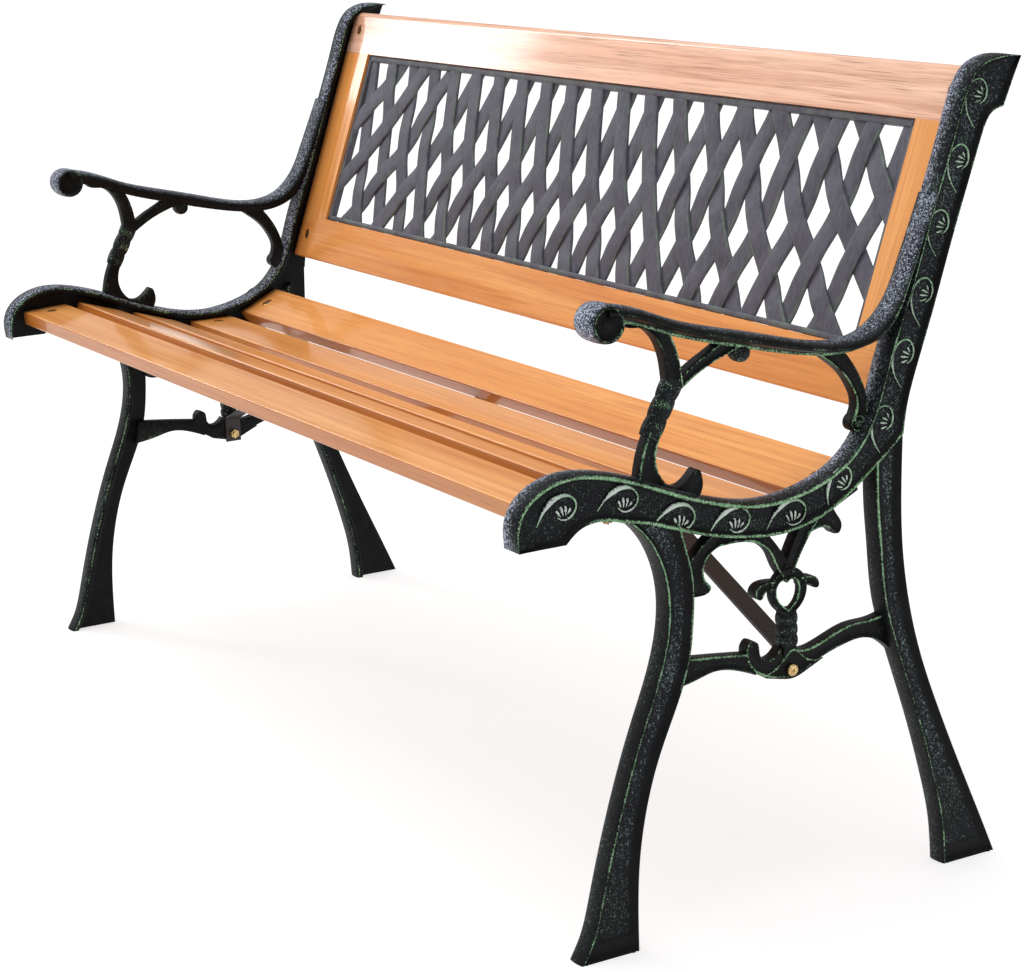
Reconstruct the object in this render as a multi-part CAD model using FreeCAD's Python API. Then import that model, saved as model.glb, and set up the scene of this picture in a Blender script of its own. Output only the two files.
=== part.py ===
import FreeCAD, Part
import math
import os
from FreeCAD import Vector

# Garden bench: two cast end frames carry five seat slats and a framed lattice back.
# +X runs along the bench, -Y is the front, +Z is up.
# The origin is on the ground, at the middle of the bench's length and depth.

# ---- driving dimensions, millimetres ----
bench_length = 1220.0       # over the outer faces of the two end frames
depth_centre = 213.8        # middle of the bench's depth, from the front foot's front corner

web_recess = 4.0            # the ornamented face lies this far inside the rims
web_thickness = 9.0
flange_width = 25.0         # rolled front edge of the seat rail and back post
flange_depth = 8.0
leg_thickness = 22.0
rim_width = 3.5
scroll_inset = 9.0          # scrollwork lies this far inside the outer face
scroll_thickness = 13.0
arm_overhang = 7.0          # arm stands proud of the outer face
arm_width = 33.0
arm_roll_radius = 16.0

slat_width = 55.0
slat_thickness = 16.0
slat_edge_radius = 2.0
slat_end_gap = 1.0
lug_length = 40.0
lug_width = 34.0
lug_thickness = 5.0
lug_rib_depth = 4.0         # rib that joins the rearmost lug to the web above it
lug_rib_rise = 16.0

recline = math.radians(19.32)
panel_height = 212.0        # lattice opening, up the slope of the back
panel_half_width = 535.0
back_foot = (353.1, 493.5)  # front face of the back at the lower edge of the lattice opening
rail_height = 53.0
rail_thickness = 15.0
stile_inset = 16.0          # rails end this far inside the outer faces
groove_depth = 4.0
groove_width = 4.0
tongue_clearance = 0.3

panel_recess = 3.0          # lattice face lies this far behind the wood
panel_thickness = 8.0
panel_border = 7.0
strip_width = 23.0
strip_thickness = 5.0

bolt_diameter = 6.0
bolt_clearance = 0.25
head_diameter = 11.0
head_height = 3.0
counterbore_diameter = 13.0
counterbore_depth = 3.4
nut_across_flats = 10.0
nut_height = 5.0
bolt_tail = 2.0
dowel_diameter = 8.0
dowel_length = 36.0

brace_width = 20.0
brace_thickness = 3.0
batten_width = 22.0
batten_depth = 12.0
screw_diameter = 4.0
screw_length = 11.0
screw_head = 8.0
screw_head_height = 2.4

x_out = bench_length / 2
web_out = x_out - web_recess
web_in = web_out - web_thickness
flange_in = x_out - flange_width
leg_in = x_out - leg_thickness
scroll_out = x_out - scroll_inset
scroll_in = scroll_out - scroll_thickness
arm_out = x_out + arm_overhang
arm_in = arm_out - arm_width
slat_end = web_in - slat_end_gap
rail_end = x_out - stile_inset

# Seat slats: front top corner (depth, height) and backward tilt in degrees, front to back.
slat_places = [
    (-31.0, 411.0, 3.6),
    (40.0, 415.0, -17.0),
    (111.0, 394.5, -17.5),
    (187.0, 374.0, 0.0),
    (257.6, 377.6, 25.5),
]
slat_bolt_x = slat_end - 25.0
rail_bolt_x = rail_end - 20.0
rail_bolt_rise = 29.5       # bolt line above a rail's lower edge
cross_bolt = (232.5, 223.5)


# ---- helpers ----
def at(depth, height, x=0.0):
    return Vector(x, depth - depth_centre, height)


def curve(points):
    if len(points) == 2:
        return Part.LineSegment(points[0], points[1]).toShape()
    spline = Part.BSplineCurve()
    spline.interpolate(points)
    return spline.toShape()


def outline(*runs):
    """Closed wire of smooth runs; each run ends where the next one starts."""
    edges = []
    for index, run in enumerate(runs):
        following = runs[(index + 1) % len(runs)]
        corners = run if run[-1] == following[0] else run + [following[0]]
        edges.append(curve([at(*p) for p in corners]))
    return Part.Wire(edges)


def plate(x_low, x_high, *runs):
    face = Part.Face(outline(*runs))
    face.translate(Vector(x_low, 0, 0))
    return face.extrude(Vector(x_high - x_low, 0, 0))


def sample_offset(run, distance, count=40):
    """Points along a run, moved sideways; a positive distance moves to the right of travel."""
    edge = curve([at(*p) for p in run])
    first, last = edge.ParameterRange
    moved = []
    for i in range(count + 1):
        t = first + (last - first) * i / count
        place = edge.valueAt(t)
        way = edge.tangentAt(t)
        side = Vector(0, way.z, -way.y)
        moved.append(place + side * distance)
    return edge, moved


def band(x_low, x_high, run, width):
    """Strip of even width along one side of a run."""
    edge, moved = sample_offset(run, width)
    start = edge.valueAt(edge.ParameterRange[0])
    end = edge.valueAt(edge.ParameterRange[1])
    back = curve(list(reversed(moved)))
    wire = Part.Wire([edge, curve([end, moved[-1]]), back, curve([moved[0], start])])
    face = Part.Face(wire)
    face.translate(Vector(x_low, 0, 0))
    return face.extrude(Vector(x_high - x_low, 0, 0))


def rod_x(x_low, x_high, depth, height, diameter):
    return Part.makeCylinder(diameter / 2, x_high - x_low, at(depth, height, x_low), Vector(1, 0, 0))


def hexagon(centre, axis, across_flats, height):
    """Hexagonal prism that starts at centre and runs along axis."""
    axis = Vector(axis).normalize()
    radius = across_flats / math.sqrt(3)
    side = axis.cross(Vector(1, 0, 0))
    if side.Length < 0.1:
        side = axis.cross(Vector(0, 1, 0))
    side.normalize()
    other = axis.cross(side)
    corners = []
    for i in range(7):
        turn = math.radians(60 * i)
        corners.append(centre + side * (radius * math.cos(turn)) + other * (radius * math.sin(turn)))
    return Part.Face(Part.makePolygon(corners)).extrude(axis * height)


def mirrored(shape):
    return shape.mirror(Vector(0, 0, 0), Vector(1, 0, 0))


def both_sides(shapes):
    return shapes + [mirrored(s) for s in shapes]


# ---- directions of a tilted slat and of the reclined back ----
def slat_axes(place):
    depth, height, tilt = place
    turn = math.radians(tilt)
    along = Vector(0, math.cos(turn), math.sin(turn))
    up = Vector(0, -math.sin(turn), math.cos(turn))
    return at(depth, height), along, up


back_up = Vector(0, math.sin(recline), math.cos(recline))
back_rear = Vector(0, math.cos(recline), -math.sin(recline))


def on_back(x, rise, behind=0.0):
    """Point of the back: rise up the slope, behind the front face of the wood."""
    return at(back_foot[0], back_foot[1], x) + back_up * rise + back_rear * behind


def back_block(x_low, x_high, rise_low, rise_high, behind_low, behind_high):
    corners = [
        on_back(x_low, rise_low, behind_low),
        on_back(x_high, rise_low, behind_low),
        on_back(x_high, rise_high, behind_low),
        on_back(x_low, rise_high, behind_low),
        on_back(x_low, rise_low, behind_low),
    ]
    return Part.Face(Part.makePolygon(corners)).extrude(back_rear * (behind_high - behind_low))


# ---- end frame: the run of each edge, (depth, height) ----
top_edge = [
    (-51.0, 380.0), (-52.5, 398.0), (-46.0, 415.5), (-28.0, 430.0), (0.0, 437.0), (30.0, 434.0),
    (70.0, 422.0), (110.0, 406.0), (150.0, 392.5), (200.0, 383.5), (250.0, 390.0), (290.0, 408.5),
    (314.0, 437.0), (333.0, 488.0), (359.0, 556.0), (383.0, 625.0), (408.0, 695.0), (420.0, 727.0),
    (432.0, 743.0), (450.0, 750.5), (481.0, 750.5),
]
hook_edge = [(481.0, 750.5), (462.0, 707.0)]
throat_edge = [(462.0, 707.0), (449.0, 702.5), (439.5, 689.0)]
rear_edge = [
    (439.5, 689.0), (420.0, 636.0), (400.0, 580.0), (383.0, 530.0), (365.0, 481.0), (355.0, 448.0),
    (351.5, 424.0),
]
lower_edge = [
    (351.5, 424.0), (338.0, 412.5), (310.0, 391.0), (290.0, 377.0), (265.0, 363.5), (240.0, 356.0),
    (212.0, 353.0), (180.0, 355.5), (140.0, 363.5), (100.0, 376.5), (70.0, 386.0), (52.0, 389.5),
]
nose_arc = [(52.0, 389.5), (40.0, 393.0), (24.0, 394.5), (8.0, 390.5), (-5.0, 380.0)]

front_leg_front = [
    (53.0, 393.0), (70.0, 378.5), (87.0, 352.0), (95.5, 318.0), (93.0, 278.0), (82.0, 240.0),
    (66.0, 200.0), (46.5, 145.0), (33.0, 100.0), (20.0, 50.0), (10.0, 18.0), (0.0, 0.0),
]
front_leg_back = [
    (59.5, 0.0), (59.5, 40.0), (62.0, 84.0), (70.0, 130.0), (83.0, 172.0), (102.0, 215.0),
    (116.0, 252.0), (122.0, 294.0), (121.5, 332.0), (115.0, 358.0), (109.0, 380.0),
]
back_leg_front = [
    (321.0, 402.0), (321.5, 364.0), (325.0, 325.0), (331.0, 272.0), (341.0, 236.0), (357.0, 190.0),
    (375.0, 137.0), (391.0, 82.0), (400.0, 42.0), (403.5, 0.0),
]
back_leg_back = [
    (464.5, 0.0), (450.0, 33.0), (422.0, 95.0), (396.0, 155.0), (373.0, 215.0), (359.0, 268.0),
    (351.0, 325.0), (349.5, 375.0), (350.5, 422.5),
]


def rail_and_post():
    web = plate(web_in, web_out, top_edge[:-1], hook_edge[:-1], throat_edge[:-1], rear_edge[:-1],
                lower_edge[:-1], nose_arc[:-1], [nose_arc[-1]])
    inner_flange = band(flange_in, web_in, top_edge, flange_depth)
    outer_flange = band(web_out, x_out, top_edge, flange_depth)
    rims = [
        band(web_out, x_out, rear_edge, rim_width),
        band(web_out, x_out, lower_edge, rim_width),
        band(web_out, x_out, nose_arc, rim_width),
        band(web_out, x_out, hook_edge, rim_width),
    ]
    return [web, inner_flange, outer_flange] + rims


def leg(front, back):
    """Front edge runs down to the foot and the back edge runs up again."""
    web = plate(web_in, web_out, front[:-1], [front[-1]], back[:-1], [back[-1]])
    outer_front = band(web_out, x_out, front, -flange_depth)
    inner_front = band(leg_in, web_in, front, -flange_depth)
    outer_back = band(web_out, x_out, back, -rim_width)
    return [web, outer_front, inner_front, outer_back]


def foot_bar(front, back):
    """Raised rim across the bottom of a foot."""
    left = front[-1][0]
    right = back[0][0]
    return plate(web_out, x_out, [(left, 0.0)], [(right, 0.0)], [(right - 1.0, 5.0)], [(left + 3.0, 5.0)])


arm_top = [
    (37.5, 577.5), (60.0, 573.5), (80.0, 567.0), (110.0, 555.5), (150.0, 544.5), (200.0, 532.5),
    (250.0, 520.5), (285.0, 517.0), (312.0, 522.0), (333.0, 536.0), (349.0, 556.0), (359.0, 577.0),
]
arm_bottom = [
    (365.0, 565.0), (352.0, 538.0), (335.0, 517.0), (310.0, 506.0), (285.0, 503.5), (250.0, 507.0),
    (200.0, 517.5), (150.0, 530.0), (110.0, 541.5), (80.0, 552.5), (60.0, 558.0), (37.5, 561.5),
]


def arm():
    bar = plate(arm_in, arm_out, arm_top[:-1], [arm_top[-1]], arm_bottom[:-1], [arm_bottom[-1]])
    roll = rod_x(arm_in, arm_out, 37.5, 561.5, 2 * arm_roll_radius)
    ball = rod_x(scroll_in, scroll_out, 182.0, 518.0, 17.0)
    return [bar, roll, ball]


def arm_support():
    """Forked strut, beaded collar and curved post between the arm and the seat rail."""
    front_strut = plate(scroll_in, scroll_out,
                        [(58.0, 562.0), (64.0, 554.5), (76.0, 552.5), (87.0, 547.5), (96.0, 536.5),
                         (102.0, 518.5), (104.5, 497.5)],
                        [(121.0, 497.5), (118.5, 513.5), (114.5, 529.5), (107.0, 544.5), (98.0, 553.5)],
                        [(86.0, 562.0)])
    back_strut = plate(scroll_in, scroll_out,
                       [(114.0, 503.5), (130.0, 514.0), (146.0, 522.5), (162.0, 530.5)],
                       [(182.0, 521.5), (158.0, 515.5), (140.0, 507.5), (122.0, 495.5)])
    collar = plate(scroll_in - 2.0, scroll_out + 2.0,
                   [(101.0, 501.5), (96.5, 493.5), (91.0, 486.0), (87.0, 476.0), (82.0, 469.0),
                    (84.0, 457.5)],
                   [(98.0, 454.5), (105.0, 460.5), (108.0, 470.5), (113.5, 479.5), (117.5, 488.5),
                    (123.0, 500.5)])
    post = plate(scroll_in, scroll_out,
                 [(86.0, 461.5), (79.0, 447.5), (75.5, 435.5), (73.0, 417.5)],
                 [(96.0, 405.5), (137.0, 393.5)],
                 [(137.5, 401.5), (139.5, 410.5), (138.5, 419.0), (134.0, 422.5), (127.0, 417.0),
                  (117.0, 411.0), (105.0, 412.5), (96.5, 421.5), (92.0, 437.5), (97.0, 458.5)])
    return [front_strut, back_strut, collar, post]


def rear_bracket():
    body = plate(scroll_in, scroll_out,
                 [(258.0, 510.0), (276.0, 497.0), (290.0, 485.5), (300.0, 471.5), (305.0, 458.5),
                  (303.5, 448.5), (297.0, 444.0), (295.5, 438.0), (300.0, 433.5), (307.0, 432.0),
                  (314.0, 434.5)],
                 [(324.0, 434.5), (332.0, 455.5)],
                 [(328.0, 467.5), (317.0, 471.5), (310.0, 485.5), (300.0, 498.0), (290.0, 510.0)])
    return [body]


def cross_bar():
    bar = plate(scroll_in, scroll_out,
                [(108.0, 256.0), (136.5, 253.0), (161.5, 250.0), (182.0, 248.0)],
                [(182.0, 248.0), (183.0, 256.5), (189.0, 261.0), (195.5, 259.0), (198.0, 251.5),
                 (199.0, 243.0), (204.5, 238.0), (212.5, 238.5), (219.5, 245.0)],
                [(219.5, 245.0), (236.5, 244.0)],
                [(236.5, 244.0), (246.5, 240.0), (262.5, 242.5), (281.5, 249.0), (299.5, 253.5),
                 (318.5, 254.0), (342.5, 258.5)],
                [(346.5, 234.5), (334.5, 225.5)],
                [(332.5, 229.5), (324.5, 235.0), (310.5, 238.0), (291.5, 235.5), (268.5, 229.0),
                 (248.5, 220.5), (232.5, 215.5), (211.5, 218.5), (191.5, 226.0), (170.5, 234.0),
                 (149.5, 237.0), (130.5, 233.0), (110.0, 229.0)],
                [(100.0, 232.0)])
    return [bar]


def column():
    stem = plate(scroll_in, scroll_out, [(223.5, 236.5)], [(223.5, 282.5)], [(239.5, 282.5)], [(239.5, 236.5)])
    beads = []
    for low, high in ((245.5, 255.5), (257.0, 267.5), (268.5, 277.0)):
        beads.append(plate(scroll_in - 2.0, scroll_out + 2.0,
                           [(221.0, low)], [(221.0, high)], [(242.0, high)], [(242.0, low)]))
    heart = plate(scroll_in, scroll_out,
                  [(230.5, 273.5), (216.5, 281.5), (209.5, 296.5), (213.5, 310.5), (226.5, 317.5),
                   (242.5, 314.5), (250.5, 300.5), (245.5, 283.5)])
    hole = plate(scroll_in - 5.0, scroll_out + 5.0,
                 [(229.0, 280.0), (220.0, 288.5), (217.0, 298.5), (220.0, 306.0), (226.0, 306.5)],
                 [(229.0, 304.0), (233.5, 307.0), (239.0, 304.5), (240.5, 295.5), (237.0, 286.5)])
    curls = [
        plate(scroll_in, scroll_out,
              [(214.5, 308.0), (203.5, 308.5), (195.0, 304.5), (194.0, 297.0), (200.5, 294.0),
               (206.5, 297.5), (214.5, 299.5)], [(218.5, 302.5)]),
        plate(scroll_in, scroll_out,
              [(244.5, 307.0), (254.5, 307.0), (263.0, 302.0), (263.5, 295.0), (256.5, 294.0),
               (251.5, 298.0), (244.5, 298.5)], [(241.5, 302.5)]),
    ]
    return [stem] + beads + [heart.cut(hole)] + curls


def rail_struts():
    """Arch and V of scrollwork between the heart and the underside of the seat rail."""
    arch = plate(scroll_in, scroll_out,
                 [(116.5, 333.0), (130.5, 343.0), (142.5, 358.0)],
                 [(156.5, 368.0), (196.5, 362.0)],
                 [(207.5, 351.0), (218.5, 339.5), (232.5, 322.0)],
                 [(230.5, 311.0), (220.5, 311.0)],
                 [(215.5, 319.0), (211.5, 333.0), (198.5, 344.5), (176.5, 350.0), (154.5, 349.5),
                  (141.5, 342.0), (137.5, 330.0), (142.5, 321.0), (147.5, 316.0), (143.5, 311.5),
                  (130.5, 311.5)],
                 [(118.5, 313.0)])
    vee = plate(scroll_in, scroll_out,
                [(228.5, 321.0), (233.5, 338.0), (242.5, 358.0)],
                [(258.5, 366.0), (282.5, 375.0)],
                [(284.0, 359.0), (288.5, 351.0), (288.0, 343.0), (283.5, 340.0), (278.0, 343.5),
                 (272.5, 348.5), (258.5, 347.0), (246.5, 336.0), (235.5, 317.0)])
    return [arch, vee]


def lug_block(place, x_low, x_high, rise):
    """Block under a slat's end, from the lug's underside up to a rise square to the slat."""
    corner, along, up = slat_axes(place)
    start = corner + along * ((slat_width - lug_width) / 2) - up * (slat_thickness + lug_thickness)
    corners = [start, start + along * lug_width, start + along * lug_width + up * rise, start + up * rise, start]
    face = Part.Face(Part.makePolygon(corners))
    face.translate(Vector(x_low, 0, 0))
    return face.extrude(Vector(x_high - x_low, 0, 0))


def seat_lugs():
    """One lug under each slat; the rearmost one hangs a little below the web, on a rib."""
    lugs = [lug_block(place, web_in - lug_length, web_in, lug_thickness) for place in slat_places]
    lugs.append(lug_block(slat_places[-1], web_in, web_in + lug_rib_depth, lug_rib_rise))
    return lugs


def rail_bottoms():
    """Rise of the lower edge of the lower and of the upper back rail."""
    return (-rail_height - 1.0, panel_height)


def back_lugs():
    lugs = []
    for bottom in rail_bottoms():
        low = bottom + rail_bolt_rise - lug_width / 2
        lugs.append(back_block(web_in - lug_length, web_in, low, low + lug_width,
                               rail_thickness, rail_thickness + lug_thickness))
    return lugs


def slat_bolt_axis(place):
    corner, along, up = slat_axes(place)
    return corner + along * (slat_width / 2) + Vector(slat_bolt_x, 0, 0), up * -1


def rail_bolt_axis(bottom):
    return on_back(rail_bolt_x, bottom + rail_bolt_rise), back_rear


def all_bolt_axes():
    axes = [slat_bolt_axis(place) for place in slat_places]
    axes += [rail_bolt_axis(bottom) for bottom in rail_bottoms()]
    return axes


def hole_along(start, way, diameter, low, high):
    return Part.makeCylinder(diameter / 2, high - low, start + way * low, way)


def end_frame():
    solids = rail_and_post()
    solids += leg(front_leg_front, front_leg_back)
    solids += leg(back_leg_front, back_leg_back)
    solids += [foot_bar(front_leg_front, front_leg_back), foot_bar(back_leg_front, back_leg_back)]
    solids += arm() + arm_support() + rear_bracket()
    solids += cross_bar() + column() + rail_struts()
    solids += seat_lugs() + back_lugs()
    body = solids[0]
    for piece in solids[1:]:
        body = body.fuse(piece)
    below_ground = Part.makeBox(100.0, bench_length, 50.0, Vector(web_in - 50.0, -bench_length / 2, -50.0))
    body = body.cut(below_ground)
    for start, way in all_bolt_axes():
        body = body.cut(hole_along(start, way, bolt_diameter + 2 * bolt_clearance, 5.0, 40.0))
    body = body.cut(rod_x(scroll_in - 5.0, x_out + 5.0, cross_bolt[0], cross_bolt[1],
                          bolt_diameter + 2 * bolt_clearance))
    return body.removeSplitter()


# ---- timber ----
def seat_slat(place):
    corner, along, up = slat_axes(place)
    low = corner - up * slat_thickness
    corners = [low, low + along * slat_width, corner + along * slat_width, corner, low]
    face = Part.Face(Part.makePolygon(corners))
    face.translate(Vector(-slat_end, 0, 0))
    slat = face.extrude(Vector(2 * slat_end, 0, 0))
    long_edges = [e for e in slat.Edges if e.Length > slat_end]
    slat = slat.makeFillet(slat_edge_radius, long_edges)
    start, way = slat_bolt_axis(place)
    for x in (slat_bolt_x, -slat_bolt_x):
        place_on_top = Vector(x, start.y, start.z)
        slat = slat.cut(hole_along(place_on_top, way, bolt_diameter + 2 * bolt_clearance, -1.0, 20.0))
        slat = slat.cut(hole_along(place_on_top, way, counterbore_diameter, -1.0, counterbore_depth))
    return slat


def groove_box(x_low, x_high, rise_low, rise_high):
    behind = panel_recess + (panel_thickness - groove_width) / 2
    return back_block(x_low, x_high, rise_low, rise_high, behind, behind + groove_width)


def dowel_places():
    """Middle of each dowel: two at each of the four joints between stile and rail."""
    middle = (panel_half_width + rail_end) / 2
    places = []
    for rise in (-1.0, panel_height):
        for x in (middle - 14.0, middle + 14.0):
            places.append((x, rise))
            places.append((-x, rise))
    return places


def dowel(x, rise, diameter, length):
    start = on_back(x, rise - length / 2, rail_thickness / 2)
    return Part.makeCylinder(diameter / 2, length, start, back_up)


def back_rail(bottom):
    rail = back_block(-rail_end, rail_end, bottom, bottom + rail_height, 0.0, rail_thickness)
    upper = bottom > 0
    long_edges = [e for e in rail.Edges if e.Length > rail_end]
    rounded = []
    for e in long_edges:
        rise = (e.CenterOfMass - on_back(0, 0)).dot(back_up)
        outer = rise > bottom + rail_height / 2 if upper else rise < bottom + rail_height / 2
        if outer:
            rounded.append(e)
    rail = rail.makeFillet(6.5 if upper else 3.0, rounded)
    if upper:
        rail = rail.cut(groove_box(-panel_half_width, panel_half_width, bottom - 1.0, bottom + groove_depth))
    else:
        top = bottom + rail_height
        rail = rail.cut(groove_box(-panel_half_width, panel_half_width, top - groove_depth, top + 1.0))
    for x in (rail_bolt_x, -rail_bolt_x):
        start = on_back(x, bottom + rail_bolt_rise)
        rail = rail.cut(hole_along(start, back_rear, bolt_diameter + 2 * bolt_clearance, -1.0, 20.0))
        rail = rail.cut(hole_along(start, back_rear, counterbore_diameter, -1.0, counterbore_depth))
    for x, rise in dowel_places():
        if abs(rise - bottom) < 5 or abs(rise - bottom - rail_height) < 5:
            rail = rail.cut(dowel(x, rise, dowel_diameter, dowel_length))
    return rail


def back_stile():
    stile = back_block(panel_half_width, rail_end, -1.0, panel_height, 0.0, rail_thickness)
    stile = stile.cut(groove_box(panel_half_width - 1.0, panel_half_width + groove_depth, -2.0, panel_height + 1.0))
    for x, rise in dowel_places():
        if x > 0:
            stile = stile.cut(dowel(x, rise, dowel_diameter, dowel_length))
    return stile


# ---- lattice panel: two mirrored families of leaning strips that bow as they fall ----
strip_count = 19
first_strip = -526.5
strip_pitch = 52.2
pitch_growth_from = 12
pitch_growth = 1.05
fall_least = 59.0           # sideways travel of the steepest strip
fall_gain = 28.0
fall_length = 240.0
strip_bow = 0.085


def strip_centre(index, share):
    """Sideways place of a strip, share 0 at the top border and 1 at the bottom border."""
    late = max(0, index - pitch_growth_from)
    top = first_strip + strip_pitch * index + pitch_growth * late * late
    travel = fall_least + fall_gain * math.exp(top / fall_length)
    return top + travel * (share - strip_bow * math.sin(math.pi * share))


def strip_solid(index):
    steps = 14
    rise_high = panel_height - panel_border / 2
    rise_low = panel_border / 2
    behind = panel_recess + 1.5
    left = []
    right = []
    for i in range(steps + 1):
        share = -0.06 + 1.12 * i / steps
        slope = (strip_centre(index, share + 0.01) - strip_centre(index, share - 0.01)) / 0.02
        slope /= rise_high - rise_low
        half = strip_width / 2 * math.sqrt(1 + slope * slope)
        rise = rise_high + (rise_low - rise_high) * share
        left.append(on_back(strip_centre(index, share) - half, rise, behind))
        right.append(on_back(strip_centre(index, share) + half, rise, behind))
    wire = Part.Wire([curve(left), curve([left[-1], right[-1]]), curve(list(reversed(right))),
                      curve([right[0], left[0]])])
    return Part.Face(wire).extrude(back_rear * strip_thickness)


def lattice_panel():
    gap = 0.5
    outer = back_block(-panel_half_width + gap, panel_half_width - gap, -1.0 + gap, panel_height - gap,
                       panel_recess, panel_recess + panel_thickness)
    window = back_block(-panel_half_width + panel_border, panel_half_width - panel_border,
                        panel_border - 1.0, panel_height - panel_border, 0.0, 20.0)
    tongue_behind = panel_recess + (panel_thickness - groove_width) / 2 + tongue_clearance
    reach = groove_depth - tongue_clearance
    tongue = back_block(-panel_half_width - reach, panel_half_width + reach, -1.0 - reach,
                        panel_height + reach, tongue_behind, tongue_behind + groove_width - 2 * tongue_clearance)
    border = outer.fuse(tongue).cut(window)
    limit = back_block(-panel_half_width + 2.0, panel_half_width - 2.0, 2.0, panel_height - 2.0, 0.0, 20.0)
    strips = [strip_solid(i) for i in range(strip_count)]
    strips = [s.common(limit) for s in both_sides(strips)]
    return border.multiFuse(strips).removeSplitter()


# ---- centre batten and braces ----
def batten_top():
    """Points under the five slats that the batten's upper edge touches."""
    points = []
    for place in slat_places:
        corner, along, up = slat_axes(place)
        low = corner - up * slat_thickness
        points.append(low + along * 6.0)
        points.append(low + along * (slat_width - 6.0))
    return points


def centre_batten():
    top = batten_top()
    top[0] = top[0] + (top[1] - top[0]) * 0.35
    bottom = []
    for i, point in enumerate(top):
        near = top[min(i + 1, len(top) - 1)] - top[max(i - 1, 0)]
        near.normalize()
        down = Vector(0, near.z, -near.y)
        bottom.append(point + down * batten_depth)
    edges = Part.makePolygon(top + list(reversed(bottom)) + [top[0]])
    face = Part.Face(edges)
    face.translate(Vector(-batten_width / 2, 0, 0))
    return face.extrude(Vector(batten_width, 0, 0))


brace_top_x = 300.0
brace_slat = 3
brace_tab = 26.0
brace_rise = 20.0


def brace_path():
    """Middle line of the brace, from its tab on the cross bar to its tab under the fourth slat."""
    inside = scroll_in - brace_thickness / 2
    under = slat_places[brace_slat][1] - slat_thickness - brace_thickness / 2
    return [
        Vector(inside, 0, cross_bolt[1] - 10.0),
        Vector(inside, 0, cross_bolt[1] + brace_rise),
        Vector(brace_top_x + brace_tab, 0, under),
        Vector(brace_top_x, 0, under),
    ]


def brace():
    """Flat bar with a bent tab at each end."""
    path = brace_path()
    pieces = []
    for start, end in zip(path, path[1:]):
        way = (end - start).normalize()
        side = Vector(way.z, 0, -way.x) * (brace_thickness / 2)
        corners = [start - side, end - side, end + side, start + side, start - side]
        face = Part.Face(Part.makePolygon(corners))
        face.translate(Vector(0, cross_bolt[0] - depth_centre - brace_width / 2, 0))
        pieces.append(face.extrude(Vector(0, brace_width, 0)))
    for middle in path[1:-1]:
        pieces.append(Part.makeCylinder(brace_thickness / 2, brace_width,
                                        middle + Vector(0, cross_bolt[0] - depth_centre - brace_width / 2, 0),
                                        Vector(0, 1, 0)))
    bar = pieces[0].multiFuse(pieces[1:])
    bar = bar.cut(rod_x(scroll_in - 10.0, scroll_in + 5.0, cross_bolt[0], cross_bolt[1],
                        bolt_diameter + 2 * bolt_clearance))
    bar = bar.cut(Part.makeCylinder(screw_diameter / 2 + bolt_clearance, 20.0,
                                    Vector(brace_screw_x(), cross_bolt[0] - depth_centre, brace_screw_z() - 10),
                                    Vector(0, 0, 1)))
    return bar.removeSplitter()


def brace_screw_x():
    return brace_top_x + 9.0


def brace_screw_z():
    return slat_places[brace_slat][1] - slat_thickness - brace_thickness


# ---- fasteners ----
def bolt(start, way, grip):
    """Pan-head bolt: head from start, shank through the grip, nut and tail."""
    seat = counterbore_depth
    head = hole_along(start, way, head_diameter, seat - head_height, seat)
    rim = [e for e in head.Edges if abs((e.BoundBox.Center - start).dot(way) - (seat - head_height)) < 0.01]
    head = head.makeFillet(1.2, rim)
    slot = hole_along(start, way, 3.0, seat - head_height - 0.1, seat - head_height + 1.2)
    shank = hole_along(start, way, bolt_diameter, seat - 0.5, grip + nut_height + bolt_tail)
    return head.cut(slot).fuse(shank).removeSplitter()


def nut(start, way, grip):
    body = hexagon(start + way * grip, way, nut_across_flats, nut_height)
    return body.cut(hole_along(start, way, bolt_diameter, grip - 1.0, grip + nut_height + 1.0))


def seat_grip():
    return slat_thickness + lug_thickness


def back_grip():
    return rail_thickness + lug_thickness


def slat_bolts():
    return both_sides([bolt(*slat_bolt_axis(place), seat_grip()) for place in slat_places])


def slat_nuts():
    return both_sides([nut(*slat_bolt_axis(place), seat_grip()) for place in slat_places])


def back_bolts():
    return both_sides([bolt(*rail_bolt_axis(bottom), back_grip()) for bottom in rail_bottoms()])


def back_nuts():
    return both_sides([nut(*rail_bolt_axis(bottom), back_grip()) for bottom in rail_bottoms()])


def brace_bolt():
    start = at(cross_bolt[0], cross_bolt[1], scroll_out + counterbore_depth)
    return bolt(start, Vector(-1, 0, 0), counterbore_depth + scroll_thickness + brace_thickness)


def brace_nut():
    start = at(cross_bolt[0], cross_bolt[1], scroll_out + counterbore_depth)
    return nut(start, Vector(-1, 0, 0), counterbore_depth + scroll_thickness + brace_thickness)


def wood_screw(seat, way, head_outside):
    """Screw with a low round head; seat is where the head bears."""
    head = hole_along(seat, way, screw_head, -head_outside, 0.0)
    return head.fuse(hole_along(seat, way, screw_diameter, -0.5, screw_length))


def screw_hole(seat, way):
    return hole_along(seat, way, screw_diameter, 0.0, screw_length)


def brace_screw_axes():
    seat = Vector(brace_screw_x(), cross_bolt[0] - depth_centre, brace_screw_z())
    return [(seat, Vector(0, 0, 1)), (Vector(-seat.x, seat.y, seat.z), Vector(0, 0, 1))]


def batten_screw_axes():
    """One screw under the middle of each slat, sunk in the batten's lower edge."""
    axes = []
    for place in slat_places:
        corner, along, up = slat_axes(place)
        middle = corner + along * (slat_width / 2) - up * slat_thickness
        axes.append((middle - up * 3.0, up))
    return axes


def dowels():
    return [dowel(x, rise, dowel_diameter, dowel_length) for x, rise in dowel_places()]


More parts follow.
